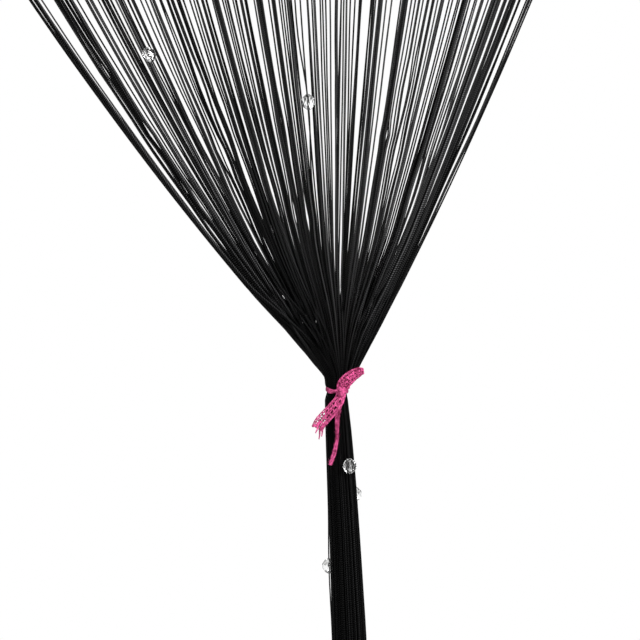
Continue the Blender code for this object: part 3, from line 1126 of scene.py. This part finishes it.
@dataclass
class WovenHeading:
    """The heading: a band with a rib for each string, bound by weft yarns, with a cord along each edge."""

    width: float
    height: float
    thickness: float
    strings: int
    band: bpy.types.Material
    yarn: bpy.types.Material
    rib_relief: float = 0.00028
    columns_per_rib: int = 4
    rows: int = 9
    edge_thinness: float = 0.55
    selvedge_radius: float = 0.0009
    selvedge_rows: int = 301
    selvedge_wave: float = 0.00004
    selvedge_wave_step: float = 0.7
    selvedge_inset: float = 0.0006
    weft_radius: float = 0.00034
    weft_inset: float = 0.001
    weft_rows_per_rib: int = 3
    weft_heights: tuple[float, ...] = (0.007, 0.016, 0.025, 0.034, 0.043, 0.052)

    def build_band(self) -> bpy.types.Object:
        """Makes the band as a closed thin sheet with ribs on both faces."""
        columns = self.strings * self.columns_per_rib + 1
        x = np.linspace(-self.width / 2.0, self.width / 2.0, columns)
        z = np.linspace(0.0, -self.height, self.rows)
        rib = np.abs(np.sin(np.arange(columns) / self.columns_per_rib * math.pi))
        body = self.thickness / 2.0 - self.rib_relief
        thick = body + self.rib_relief * rib
        thin_edge = np.ones(self.rows)
        thin_edge[[0, -1]] = self.edge_thinness
        half = thick[None, :] * thin_edge[:, None]
        grid_x, grid_z = np.meshgrid(x, z)
        front = np.stack([grid_x, -half, grid_z], axis=-1).reshape(-1, 3)
        back = np.stack([grid_x, half, grid_z], axis=-1).reshape(-1, 3)
        per_face = len(front)
        faces = []
        for row in range(self.rows - 1):
            for column in range(columns - 1):
                a = row * columns + column
                b = a + columns
                faces.append([a, b, b + 1, a + 1])
                faces.append([per_face + a, per_face + a + 1, per_face + b + 1, per_face + b])
        rim = list(range(columns))
        rim += [row * columns + columns - 1 for row in range(1, self.rows)]
        rim += [(self.rows - 1) * columns + column for column in range(columns - 2, -1, -1)]
        rim += [row * columns for row in range(self.rows - 2, 0, -1)]
        for a, b in zip(rim, rim[1:] + rim[:1]):
            faces.append([a, b, per_face + b, per_face + a])
        mesh = bpy.data.meshes.new("heading_band")
        mesh.from_pydata(np.concatenate([front, back]), [], faces)
        return finish_piece("heading_band", mesh, self.band)

    def build_wefts(self) -> bpy.types.Object:
        """Makes the weft yarns that run along the band, over one rib and under the next."""
        tubes = Tubes(5)
        columns = self.strings * self.weft_rows_per_rib + 1
        reach_x = self.width / 2.0 - self.weft_inset
        x = np.linspace(-reach_x, reach_x, columns)
        swing = np.cos(np.arange(columns) / self.weft_rows_per_rib * math.pi)
        reach = self.thickness / 2.0 + 0.5 * self.weft_radius
        for number, drop in enumerate(self.weft_heights):
            sign = 1.0 if number % 2 else -1.0
            line = np.stack([x, sign * swing * reach, np.full(columns, -drop)], axis=-1)
            tubes.add(line, self.weft_radius, steady=UP)
        return tubes.build("heading_wefts", self.yarn)

    def build_selvedges(self) -> bpy.types.Object:
        """Makes the cord along the top edge and the one along the bottom edge."""
        tubes = Tubes(8)
        reach_x = self.width / 2.0 - self.selvedge_inset
        x = np.linspace(-reach_x, reach_x, self.selvedge_rows)
        wave = np.sin(np.arange(self.selvedge_rows) * self.selvedge_wave_step) * self.selvedge_wave
        for z in (-self.selvedge_radius, -self.height + self.selvedge_radius):
            line = np.stack([x, wave, np.full(self.selvedge_rows, z)], axis=-1)
            tubes.add(line, self.selvedge_radius, steady=UP)
        return tubes.build("heading_selvedges", self.yarn)


class Station(NamedTuple):
    """A point of the ribbon's middle line, in millimetres from the wrap's front, and its width there."""

    across: float
    up: float
    out: float
    width: float


@dataclass
class RibbonTie:
    """The openwork ribbon tied round the neck: its wrap, knot, two broad ends and narrow tail."""

    outline: Outline
    finish: bpy.types.Material
    seed: int = 11
    clearance: float = 0.0002
    squeeze: float = 0.22
    squeeze_deep: float = 0.05
    squeeze_shift: float = 0.0005
    yarn: float = 0.00030
    edge_yarn: float = 0.00034
    front: float = 0.0082

    wrap_cords: int = 6
    wrap_height: float = 0.0019
    wrap_rise: float = 0.0011
    # Painted shade on the wrap's left end, where it turns back round the neck.
    wrap_painted_shade: float = 0.6
    wrap_crossings: float = 19.0
    gathered: float = 0.5
    gather_reach: float = 0.9
    knot_sideways: float = 0.0033

    net_steps: int = 60
    cord_share: float = 1.1
    cord_tones: tuple[float, float] = (0.55, 1.0)
    cord_wander: float = 0.04
    cord_wander_out: float = 0.12
    zigzags: int = 12
    zigzag_steps: int = 6
    zigzag_share: float = 0.85
    zigzag_tones: tuple[float, float] = (0.25, 0.9)
    zigzag_wander: float = 0.08
    zigzag_slip: float = 0.004
    zigzag_hump: float = 0.25
    rung_count: int = 10
    rung_share: float = 0.8
    rung_tones: tuple[float, float] = (0.4, 1.0)
    rung_slip: float = 0.22
    rung_slants: tuple[float, float] = (-0.35, 0.55)
    rung_apart: float = 0.006
    rung_out: float = 0.15
    knot_strands: int = 5
    knot_spread: float = 0.55
    tip_strands: int = 3
    tail_strands: int = 7
    tail_twist: float = 7.0
    tail_windings: float = 78.0
    knot_strays: int = 70
    edge_strays: int = 45

    upper: tuple[Station, ...] = (
        Station(3.7, 0.8, 0.2, 5.6),
        Station(4.4, 3.4, 0.9, 7.0),
        Station(6.6, 6.8, 1.7, 7.0),
        Station(10.3, 9.9, 2.2, 6.2),
        Station(14.1, 11.9, 2.3, 4.8),
        Station(16.6, 12.3, 2.1, 2.8),
    )
    lower: tuple[Station, ...] = (
        Station(3.7, -0.5, 0.2, 4.8),
        Station(1.7, -5.4, 1.2, 5.7),
        Station(-1.3, -9.5, 1.8, 6.4),
        Station(-5.2, -13.9, 2.3, 7.0),
        Station(-9.0, -18.2, 2.0, 6.8),
        Station(-11.3, -21.9, 1.2, 6.4),
    )
    tail: tuple[Station, ...] = (
        Station(2.4, -6.2, 0.8, 3.2),
        Station(1.7, -10.3, 1.0, 3.3),
        Station(1.1, -14.4, 1.3, 3.1),
        Station(0.9, -18.6, 1.5, 2.7),
        Station(0.9, -23.3, 1.7, 2.2),
        Station(0.6, -28.6, 1.9, 2.3),
        Station(-0.3, -33.9, 2.1, 2.6),
        Station(-1.7, -39.3, 2.3, 2.8),
        Station(-3.5, -43.4, 2.5, 2.3),
    )
    # Each strand of the knot and of the frayed tip has points across, up and out, as a Station has.
    knot_passes: tuple = (
        ((-1.6, 0.1, -0.4), (0.6, 0.7, 1.1), (2.6, 1.6, 2.6), (4.2, 1.2, 2.2), (4.9, 0.4, 0.6)),
        ((6.2, 0.4, -0.9), (5.3, -0.2, 1.2), (3.6, -1.2, 2.4), (1.8, -1.2, 1.9), (1.0, -0.6, 0.5)),
        ((2.2, 2.6, 0.6), (2.6, 1.8, 2.6), (3.2, 0.0, 3.4), (3.7, -1.9, 2.6), (3.9, -2.7, 0.8)),
        ((4.6, 2.4, 0.6), (4.3, 1.3, 2.4), (3.4, 0.2, 3.0), (2.6, -1.4, 2.4), (2.4, -2.6, 0.8)),
        ((0.9, -1.4, 0.5), (1.2, 0.6, 1.9), (2.9, 2.1, 2.0), (4.9, 1.9, 1.2), (5.8, 0.6, 0.2)),
    )
    frayed_tips: tuple = (
        ((-9.4, -17.6, 2.4), (-11.2, -19.6, 1.8), (-12.8, -20.6, 1.2), (-14.0, -20.7, 0.6)),
        ((-9.6, -19.0, 2.2), (-10.6, -21.4, 1.6), (-11.3, -23.0, 1.2), (-11.9, -24.6, 0.7)),
        ((-7.2, -19.4, 2.2), (-7.8, -22.0, 1.8), (-8.1, -24.4, 1.3), (-8.3, -26.6, 0.8)),
        ((-8.8, -20.4, 2.0), (-9.4, -23.0, 1.5), (-9.6, -25.6, 1.1), (-9.9, -28.2, 0.8)),
    )

    def __post_init__(self) -> None:
        """Sets up the seeded draws."""
        self.draw = np.random.RandomState(self.seed)

    def place(self, across: Points, up: Points, out: Points) -> Points:
        """Points in the curtain's frame from millimetres about the tie."""
        x = TIE_X + across * MM
        y = -self.front - out * MM
        z = self.outline.tie_z + up * MM
        return np.stack([x, y, z], axis=-1)

    def strip(self, stations: Sequence[Station], along: Points, across: Points, out: Points) -> Points:
        """Points on a strip of the ribbon.

        Args:
            stations: The strip's middle line and widths.
            along: How far along each point is, 0 to 1.
            across: How far across each point is, -1 to 1.
            out: How far each point stands out of the strip, in millimetres.

        Returns:
            The points in the curtain's frame.
        """
        fine = catmull_rom(stations, 160)
        rows = np.linspace(0.0, 1.0, len(fine))
        run = np.gradient(fine[:, 0])
        rise = np.gradient(fine[:, 1])
        length = np.hypot(run, rise)
        columns = [fine[:, 0], fine[:, 1], fine[:, 2], fine[:, 3], -rise / length, run / length]
        middle_x, middle_z, middle_out, width, side_x, side_z = (np.interp(along, rows, c) for c in columns)
        aside = across * width / 2.0
        return self.place(middle_x + side_x * aside, middle_z + side_z * aside, middle_out + out)

    def net(
        self,
        tubes: Tubes,
        stations: Sequence[Station],
        cords: Sequence[float],
        ladders: Sequence[int],
        curl: float,
        shade: float = 1.0,
    ) -> None:
        """Adds a strip of net: cords that run along it, with ladders of holes or close zigzags between.

        Args:
            tubes: Where the yarns go.
            stations: The strip's middle line and widths.
            cords: How far across each cord lies, -1 to 1, from one edge to the other.
            ladders: Which spaces between cords are rows of holes, counted from the first.
            curl: How far the edges bend back, in millimetres.
            shade: How light the strip is against the rest of the ribbon; below 1 it is painted shade.
        """
        along = np.linspace(0.0, 1.0, self.net_steps)
        for number, lies in enumerate(cords):
            edge = number in (0, len(cords) - 1)
            drift = lies + self.jitter(self.net_steps, self.cord_wander)
            out = -curl * drift**2 + self.jitter(self.net_steps, self.cord_wander_out)
            path = self.strip(stations, along, drift, out)
            radius = self.edge_yarn if edge else self.yarn * self.cord_share
            tubes.add(path, radius, tones=[self.draw.uniform(*self.cord_tones) * shade])
        for number, (near, far) in enumerate(zip(cords, cords[1:])):
            if number in ladders:
                self.rungs(tubes, stations, (near, far), curl, shade)
                continue
            for phase in (0.0, math.pi):
                self.zigzag(tubes, stations, (near, far), curl, shade, phase)

    def zigzag(
        self,
        tubes: Tubes,
        stations: Sequence[Station],
        between: tuple[float, float],
        curl: float,
        shade: float,
        phase: float,
    ) -> None:
        """Adds one yarn that runs to and fro between two cords.

        Args:
            tubes: Where the yarns go.
            stations: The strip's middle line and widths.
            between: How far across the two cords lie.
            curl: How far the edges bend back, in millimetres.
            shade: How light the strip is against the rest of the ribbon; below 1 it is painted shade.
            phase: Where in its swing the yarn starts.
        """
        near, far = between
        wander = self.zigzag_wander
        turns = self.zigzags * self.zigzag_steps + 1
        walk = np.linspace(0.0, 1.0, turns)
        swing = (1.0 - np.cos(walk * self.zigzags * math.pi + phase)) / 2.0
        swing = np.clip(swing + self.jitter(turns, wander), -wander, 1.0 + wander)
        lies = near + (far - near) * swing
        out = -curl * lies**2 + self.zigzag_hump * np.sin(walk * self.zigzags * math.tau)
        out = out + self.jitter(turns, wander)
        walk = np.clip(walk + self.jitter(turns, self.zigzag_slip), 0.0, 1.0)
        path = self.strip(stations, walk, lies, out)
        tubes.add(path, self.yarn * self.zigzag_share, tones=[self.draw.uniform(*self.zigzag_tones) * shade])

    def rungs(
        self,
        tubes: Tubes,
        stations: Sequence[Station],
        between: tuple[float, float],
        curl: float,
        shade: float,
    ) -> None:
        """Adds a row of uneven holes: short twisted rungs from one cord to the next.

        Args:
            tubes: Where the yarns go.
            stations: The strip's middle line and widths.
            between: How far across the two cords lie.
            curl: How far the edges bend back, in millimetres.
            shade: How light the strip is against the rest of the ribbon; below 1 it is painted shade.
        """
        near, far = between
        share = np.linspace(0.0, 1.0, 5)
        for number in range(self.rung_count):
            walk = (number + 0.5 + self.draw.uniform(-self.rung_slip, self.rung_slip)) / self.rung_count
            slant = self.draw.uniform(*self.rung_slants) / self.rung_count
            for side in (-1.0, 1.0):
                lies = near + (far - near) * share
                along = np.clip(walk + slant * share + side * self.rung_apart, 0.0, 1.0)
                path = self.strip(stations, along, lies, -curl * lies**2 + side * self.rung_out)
                tone = self.draw.uniform(*self.rung_tones) * shade
                tubes.add(path, self.yarn * self.rung_share, tones=[tone])

    def jitter(self, count: int, size: float) -> Points:
        """A smooth unevenness along a yarn."""
        knots = max(4, count // 6)
        coarse = self.draw.normal(0.0, size, knots)
        return np.interp(np.linspace(0.0, knots - 1.0, count), np.arange(knots), coarse)

    def build_wrap(self) -> bpy.types.Object:
        """Makes the ribbon's turn round the neck: a few cords side by side, crossed by finer yarns."""
        tubes = Tubes(6)
        middle, across, _ = self.wrap_size()
        half_height = self.wrap_height / 2.0
        turns = np.linspace(0.0, math.tau, 97)
        knot_angle = math.atan2(-1.0, (TIE_X + self.knot_sideways - middle) / across)
        from_knot = np.abs(np.angle(np.exp(1j * (turns - knot_angle))))
        spread = self.gathered + (1.0 - self.gathered) * smooth_step(from_knot / self.gather_reach)
        leftmost = np.maximum(0.0, -np.cos(turns)) ** 4
        rise = self.wrap_rise * leftmost
        # Painted shade: the wrap's yarns are darker towards its left end, where it turns back away from the
        # light.
        shade = 1.0 - self.wrap_painted_shade * leftmost
        outer = (self.wrap_cords - 1) / 2.0
        for number in range(self.wrap_cords):
            lane = (number - outer) / outer
            swing = lane + 0.25 * np.sin(turns * 3.0 + number * 1.9)
            off = self.edge_yarn + 0.00022 * np.sin(turns * 5.0 + number * 2.3)
            path = self.round_neck(turns, off, swing * half_height * spread + rise)
            tubes.add(path, self.edge_yarn, steady=UP, tones=self.draw.uniform(0.4, 0.9) * shade)
        fine = np.linspace(0.0, math.tau, 241)
        for phase in (0.0, math.pi):
            swing = np.sin(fine * self.wrap_crossings + phase)
            height = swing * half_height * np.interp(fine, turns, spread) + np.interp(fine, turns, rise)
            off = self.edge_yarn * 1.7 + 0.0001 * np.cos(2.0 * fine * self.wrap_crossings)
            tone = self.draw.uniform(0.3, 0.8) * np.interp(fine, turns, shade)
            path = self.round_neck(fine, off, height)
            tubes.add(path, self.yarn * self.rung_share, steady=(0.3, 0.2, 1.0), tones=tone)
        return tubes.build("tie_wrap", self.finish)

    def wrap_size(self) -> tuple[float, float, float]:
        """The wrap's middle, and its half widths across and from front to back."""
        left, right = self.outline.edges(self.outline.tie_z)
        deep = float(self.outline.depth(self.outline.tie_z)) / 2.0 * (1.0 - self.squeeze_deep)
        across = float(right - left) / 2.0 * (1.0 - self.squeeze)
        middle = float(left + right) / 2.0 + self.squeeze_shift
        return middle, across + self.clearance, deep + self.clearance

    def round_neck(self, turns: Points, off: Points, height: Points) -> Points:
        """Points round the neck.

        Args:
            turns: The angle of each point about the neck.
            off: How far each point stands off the wrap's inner side.
            height: How far above the wrap's middle each point lies.

        Returns:
            The points in the curtain's frame.
        """
        middle, across, deep = self.wrap_size()
        x = middle + (across + off) * np.cos(turns)
        return np.stack([x, (deep + off) * np.sin(turns), self.outline.tie_z + height], axis=-1)

    def build_knot(self) -> bpy.types.Object:
        """Makes the knot: the ribbon bunched into strands that pass over and round each other."""
        tubes = Tubes(6)
        for rows in self.knot_passes:
            line = catmull_rom(rows, 20)
            for strand in range(self.knot_strands):
                angle = strand / self.knot_strands * math.tau + np.linspace(0.0, 2.4, len(line))
                spread = self.knot_spread + self.jitter(len(line), 0.08)
                across = line[:, 0] + spread * np.cos(angle)
                up = line[:, 1] + spread * np.sin(angle) * 0.8
                out = line[:, 2] + spread * np.sin(angle) * 0.6
                path = self.place(across, up, out)
                tone = self.draw.uniform(0.6, 1.0)
                tubes.add(path, self.yarn * self.cord_share, steady=(0.3, 1.0, 0.2), tones=[tone])
        return tubes.build("tie_knot", self.finish)

    def build_upper(self) -> bpy.types.Object:
        """Makes the upper end: the ribbon folded double, so that its net looks dense."""
        tubes = Tubes(5)
        self.net(tubes, self.upper, (-1.0, -0.8, -0.45, -0.15, 0.15, 0.4, 0.86, 1.0), (2, 5), 0.6)
        behind = [Station(s.across, s.up - 0.2, s.out - 1.0, s.width * 0.94) for s in self.upper]
        # The layer behind is a real fold, and its yarns get painted shade as if in the fold's shadow.
        self.net(tubes, behind, (-1.0, -0.65, -0.3, 0.05, 0.4, 0.7, 1.0), (), -0.2, 0.35)
        return tubes.build("tie_upper_end", self.finish)

    def build_lower(self) -> bpy.types.Object:
        """Makes the lower end: the ribbon open, a net with a row of holes and a frayed tip."""
        tubes = Tubes(5)
        self.net(tubes, self.lower, (-1.0, -0.72, -0.28, 0.02, 0.5, 0.76, 1.0), (1, 3), 0.5)
        behind = [Station(s.across + 0.3, s.up + 0.1, s.out - 0.9, s.width * 0.8) for s in self.lower[2:]]
        # The layer behind is a real fold, and its yarns get painted shade as if in the fold's shadow.
        self.net(tubes, behind, (-1.0, -0.5, 0.1, 0.6, 1.0), (0, 2), -0.2, 0.3)
        for rows in self.frayed_tips:
            line = catmull_rom(rows, 10)
            for strand in range(self.tip_strands):
                angle = strand / self.tip_strands * math.tau + np.linspace(0.0, 3.0, len(line))
                gather = np.linspace(0.50, 0.20, len(line))
                across = line[:, 0] + gather * np.cos(angle)
                up = line[:, 1] + gather * np.sin(angle)
                path = self.place(across, up, line[:, 2])
                thin = np.linspace(self.yarn, self.yarn * 0.6, len(line))
                tubes.add(path, thin, tones=[self.draw.uniform(0.5, 1.0)])
        return tubes.build("tie_lower_end", self.finish)

    def build_tail(self) -> tuple[bpy.types.Object, Points]:
        """Makes the narrow tail: the ribbon drawn together into a slack cord.

        Returns:
            The tail, and the points that it follows.
        """
        tubes = Tubes(5)
        steps = 66
        along = np.linspace(0.0, 1.0, steps)
        for strand in range(self.tail_strands):
            angle = strand / self.tail_strands * math.tau + along * self.tail_twist
            lies = 0.62 * np.cos(angle) + self.jitter(steps, 0.06)
            out = 0.75 * np.sin(angle) + self.jitter(steps, 0.08)
            path = self.strip(self.tail, along, lies, out)
            tubes.add(path, self.yarn, tones=[self.draw.uniform(0.4, 1.0)])
        for phase in (0.0, math.pi / 2.0):
            fine = np.linspace(0.02, 0.99, 200)
            lies = 0.95 * np.sin(fine * self.tail_windings + phase)
            out = 0.9 * np.cos(fine * self.tail_windings + phase)
            tubes.add(self.strip(self.tail, fine, lies, out), self.yarn * 0.7, steady=(0.2, 0.3, 1.0))
        centre = self.strip(self.tail, np.linspace(0.0, 1.0, 24), np.zeros(24), np.zeros(24))
        return tubes.build("tie_tail", self.finish), centre

    def build_fluff(self) -> bpy.types.Object:
        """Makes the stray fibres round the knot and along the ribbon's ends."""
        tubes = Tubes(3)
        for _ in range(self.knot_strays):
            angle = self.draw.uniform(0.0, math.tau)
            across, up = 3.3 + 2.4 * math.cos(angle), 2.2 * math.sin(angle)
            self.stray(tubes, np.array([across, up, self.draw.uniform(1.0, 3.0)]))
        for stations in (self.upper, self.lower, self.tail):
            for _ in range(self.edge_strays):
                row = self.draw.uniform(0.15, 1.0)
                edge = self.draw.choice([-1.0, 1.0])
                x, y, z = self.strip(stations, np.array([row]), np.array([edge]), np.zeros(1))[0]
                start = np.array([x - TIE_X, z - self.outline.tie_z, -y - self.front]) / MM
                self.stray(tubes, start)
        return tubes.build("tie_fluff", self.finish)

    def stray(self, tubes: Tubes, start: Points) -> None:
        """Adds one thin fibre that curls away from the ribbon.

        Args:
            tubes: Where the fibre goes.
            start: Where it leaves the ribbon, in millimetres about the tie.
        """
        aim = self.draw.normal(0.0, 1.0, 3)
        aim /= np.linalg.norm(aim)
        bend = self.draw.normal(0.0, 0.5, 3)
        reach = self.draw.uniform(0.5, 1.3)
        share = np.linspace(0.0, 1.0, 5)[:, None]
        line = start + reach * (share * aim + share**2 * bend)
        path = self.place(line[:, 0], line[:, 1], line[:, 2])
        tubes.add(path, np.linspace(0.00006, 0.00003, 5), steady=(0.37, 0.61, 0.7), tones=[0.9])


@dataclass(frozen=True)
class Lamp:
    """A soft square light, aimed at a point."""

    name: str
    place: tuple[float, float, float]
    aim: tuple[float, float, float]
    side: float
    watts: float

    def build(self) -> None:
        """Adds the light to the scene."""
        data = bpy.data.lights.new(self.name, "AREA")
        data.shape = "SQUARE"
        data.size = self.side
        data.energy = self.watts
        lamp = bpy.data.objects.new(self.name, data)
        bpy.context.scene.collection.objects.link(lamp)
        lamp.location = self.place
        towards = np.array(self.aim) - np.array(self.place)
        flat = math.hypot(towards[0], towards[1])
        lamp.rotation_euler = (
            math.atan2(flat, -towards[2]), 0.0, math.atan2(towards[1], towards[0]) - math.pi / 2.0
        )


@dataclass
class Studio:
    """The camera, the soft lights, the white surround and the pale floor."""

    photo: Photograph
    floor_z: float = -2.030
    floor_radius: float = 3.4
    floor_colours: tuple[Colour, Colour] = ((0.80, 0.80, 0.79, 1.0), (0.84, 0.84, 0.83, 1.0))
    floor_patches: float = 3.0
    floor_roughness: float = 0.7
    lighting: float = 0.30
    lamps: tuple[Lamp, ...] = (
        Lamp("key_light", (1.25, -1.7, 0.15), (0.1, 0.0, -0.85), 1.1, 92.0),
        Lamp("fill_light", (-1.6, -1.5, -0.4), (0.1, 0.0, -1.0), 1.4, 34.0),
        Lamp("back_light", (-0.6, 1.9, 0.2), (0.1, 0.0, -1.0), 1.4, 22.0),
    )

    def build_camera(self) -> None:
        """Adds the camera, square on to the curtain with the photograph's frame."""
        data = bpy.data.cameras.new("camera")
        data.lens = self.photo.lens
        data.sensor_width = self.photo.sensor
        data.clip_end = 50.0
        camera = bpy.data.objects.new("camera", data)
        bpy.context.scene.collection.objects.link(camera)
        centre = self.photo.side / 2.0
        camera.location = (self.photo.x(centre), -self.photo.distance, self.photo.z(centre))
        camera.rotation_euler = (math.pi / 2.0, 0.0, 0.0)
        bpy.context.scene.camera = camera

    def build_world(self) -> None:
        """Makes a surround that looks white and lights the scene softly."""
        world = bpy.data.worlds.new("surround")
        world.use_nodes = True
        bpy.context.scene.world = world
        pen = NodePen(world.node_tree)
        shown = world.node_tree.nodes["Background"]
        shown.inputs["Color"].default_value = (1.0, 1.0, 1.0, 1.0)
        rays = pen.add("LightPath")
        seen = pen.math("MAXIMUM", rays.outputs["Is Camera Ray"], rays.outputs["Is Transmission Ray"])
        pen.give(shown.inputs["Strength"], pen.spread(seen, self.lighting, 1.0))

    def build_floor(self) -> None:
        """Adds the plain pale floor under the curtain's ends."""
        shape = bmesh.new()
        bmesh.ops.create_circle(shape, cap_ends=True, segments=96, radius=self.floor_radius)
        mesh = bpy.data.meshes.new("floor")
        shape.to_mesh(mesh)
        shape.free()
        material, pen, shader = start_material("pale_floor")
        place = pen.add("TexCoord").outputs["Object"]
        cloud = pen.add("TexNoise", {"Vector": place, "Scale": self.floor_patches})
        pen.give(shader.inputs["Base Color"], pen.blend(cloud.outputs[0], *self.floor_colours))
        shader.inputs["Roughness"].default_value = self.floor_roughness
        floor = finish_piece("floor", mesh, material, smooth=False)
        floor.location.z = self.floor_z

    def build(self) -> None:
        """Adds everything but the curtain."""
        self.build_camera()
        self.build_world()
        self.build_floor()
        for lamp in self.lamps:
            lamp.build()
        bpy.context.scene.view_settings.view_transform = "Standard"


class SeenBead(NamedTuple):
    """A bead in the photograph: its pixel, its side of the curtain and its depth y in millimetres."""

    column: float
    row: float
    face: Face
    y: float


@dataclass(frozen=True)
class BeadScatter:
    """Where the beads are: those that the photograph shows, and the others outside its frame."""

    others: int = 32
    seed: int = 21
    past_frame: float = 20.0
    below_heading: float = 0.05
    above_ends: float = 0.20
    step_share: tuple[float, float] = (0.15, 0.85)
    across_share: tuple[float, float] = (0.04, 0.96)
    front_share: float = 0.55
    seen: tuple[SeenBead, ...] = (
        SeenBead(149.3, 54.8, Face.FRONT, -8.0),
        SeenBead(308.2, 101.8, Face.FRONT, -10.0),
        SeenBead(349.8, 466.2, Face.FRONT, -11.0),
        SeenBead(354.9, 494.0, Face.BACK, 8.0),
        SeenBead(328.9, 564.8, Face.BACK, 8.0),
    )

    def spots(self, photo: Photograph, outline: Outline) -> list[BeadSpot]:
        """Works out each bead's place.

        Args:
            photo: The photograph's frame.
            outline: The outline of the strings.

        Returns:
            A spot for each bead.
        """
        spots = []
        for bead in self.seen:
            spots.append(BeadSpot(*photo.point(bead.column, bead.row, bead.y * MM), bead.face))
        draw = np.random.RandomState(self.seed)
        high, low = photo.z(-self.past_frame), photo.z(photo.side + self.past_frame)
        top, bottom = -outline.heading - self.below_heading, -outline.drop + self.above_ends
        above, below = top - high, low - bottom
        for number in range(self.others):
            drop = (number + draw.uniform(*self.step_share)) / self.others * (above + below)
            z = top - drop if drop < above else low - (drop - above)
            left, right = outline.edges(z)
            x = float(left + (right - left) * draw.uniform(*self.across_share))
            face = Face.FRONT if draw.uniform() < self.front_share else Face.BACK
            spots.append(BeadSpot(x, float(z), face))
        return spots


def place(piece: bpy.types.Object, slot: str, *nodes: str) -> None:
    """Rides a piece on the curtain's body, hides the nodes that it stands for and logs its faces."""
    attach(piece, BODY)
    if nodes:
        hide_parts(*nodes)
    LOG.info("%s: %d faces", piece.name, len(piece.data.polygons))


def main() -> None:
    """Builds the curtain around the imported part."""
    logging.basicConfig(level=logging.INFO, format="%(message)s")
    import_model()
    heading_low, heading_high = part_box("heading")
    size = heading_high - heading_low
    outline = Outline(width=size.x, heading=size.z, drop=heading_high.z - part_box("strings")[0].z)
    photo = Photograph(neck_z=outline.neck_z)
    Studio(photo).build()
    effects = Effects()
    # deep is painted shade in the ply creases, bright a painted highlight on the ply ridges.
    black_yarn = YarnFinish(
        name="black_yarn",
        deep=(0.0003, 0.0003, 0.00035, 1.0),
        bright=(0.130, 0.130, 0.133, 1.0),
        ply_length=0.0026,
        relief=0.00040,
        painted_highlight_sharpness=3.0,
        gloss=0.05,
        roughness=(0.30, 0.50),
    ).material(effects)
    # deep is painted shade in the ply creases, bright a painted highlight on the ply ridges.
    pink_yarn = YarnFinish(
        name="pink_yarn",
        deep=(0.10, 0.0005, 0.018, 1.0),
        bright=(1.0, 0.150, 0.43, 1.0),
        ply_length=0.0016,
        relief=0.00016,
        painted_highlight_sharpness=1.7,
        patches=520.0,
        patchiness=(-0.8, 2.8),
        gloss=0.18,
    ).material(effects)

    tie = RibbonTie(outline, pink_yarn)
    tail, tail_line = tie.build_tail()
    place(tail, "ribbon", "tie")
    for build in (tie.build_wrap, tie.build_knot, tie.build_upper, tie.build_lower, tie.build_fluff):
        place(build(), "ribbon", "tie")

    plan = StringPlan(outline, photo)
    fringe = StringFringe(plan, black_yarn)
    beads = GlassBeads(GlassFinish().material())
    threaded = fringe.lay(BeadScatter().spots(photo, outline), beads.radius)
    string_pieces = fringe.build()
    for piece in string_pieces:
        place(piece, "yarn", "strings")
    glass = beads.build(threaded)
    place(glass, "bead")

    heading = WovenHeading(size.x, size.z, size.y, plan.count, BandFinish().material(effects), black_yarn)
    band = heading.build_band()
    place(band, "band", "heading")
    bindings = [heading.build_wefts(), heading.build_selvedges()]
    for piece in bindings:
        place(piece, "band", "heading")


if __name__ == "__main__":
    main()
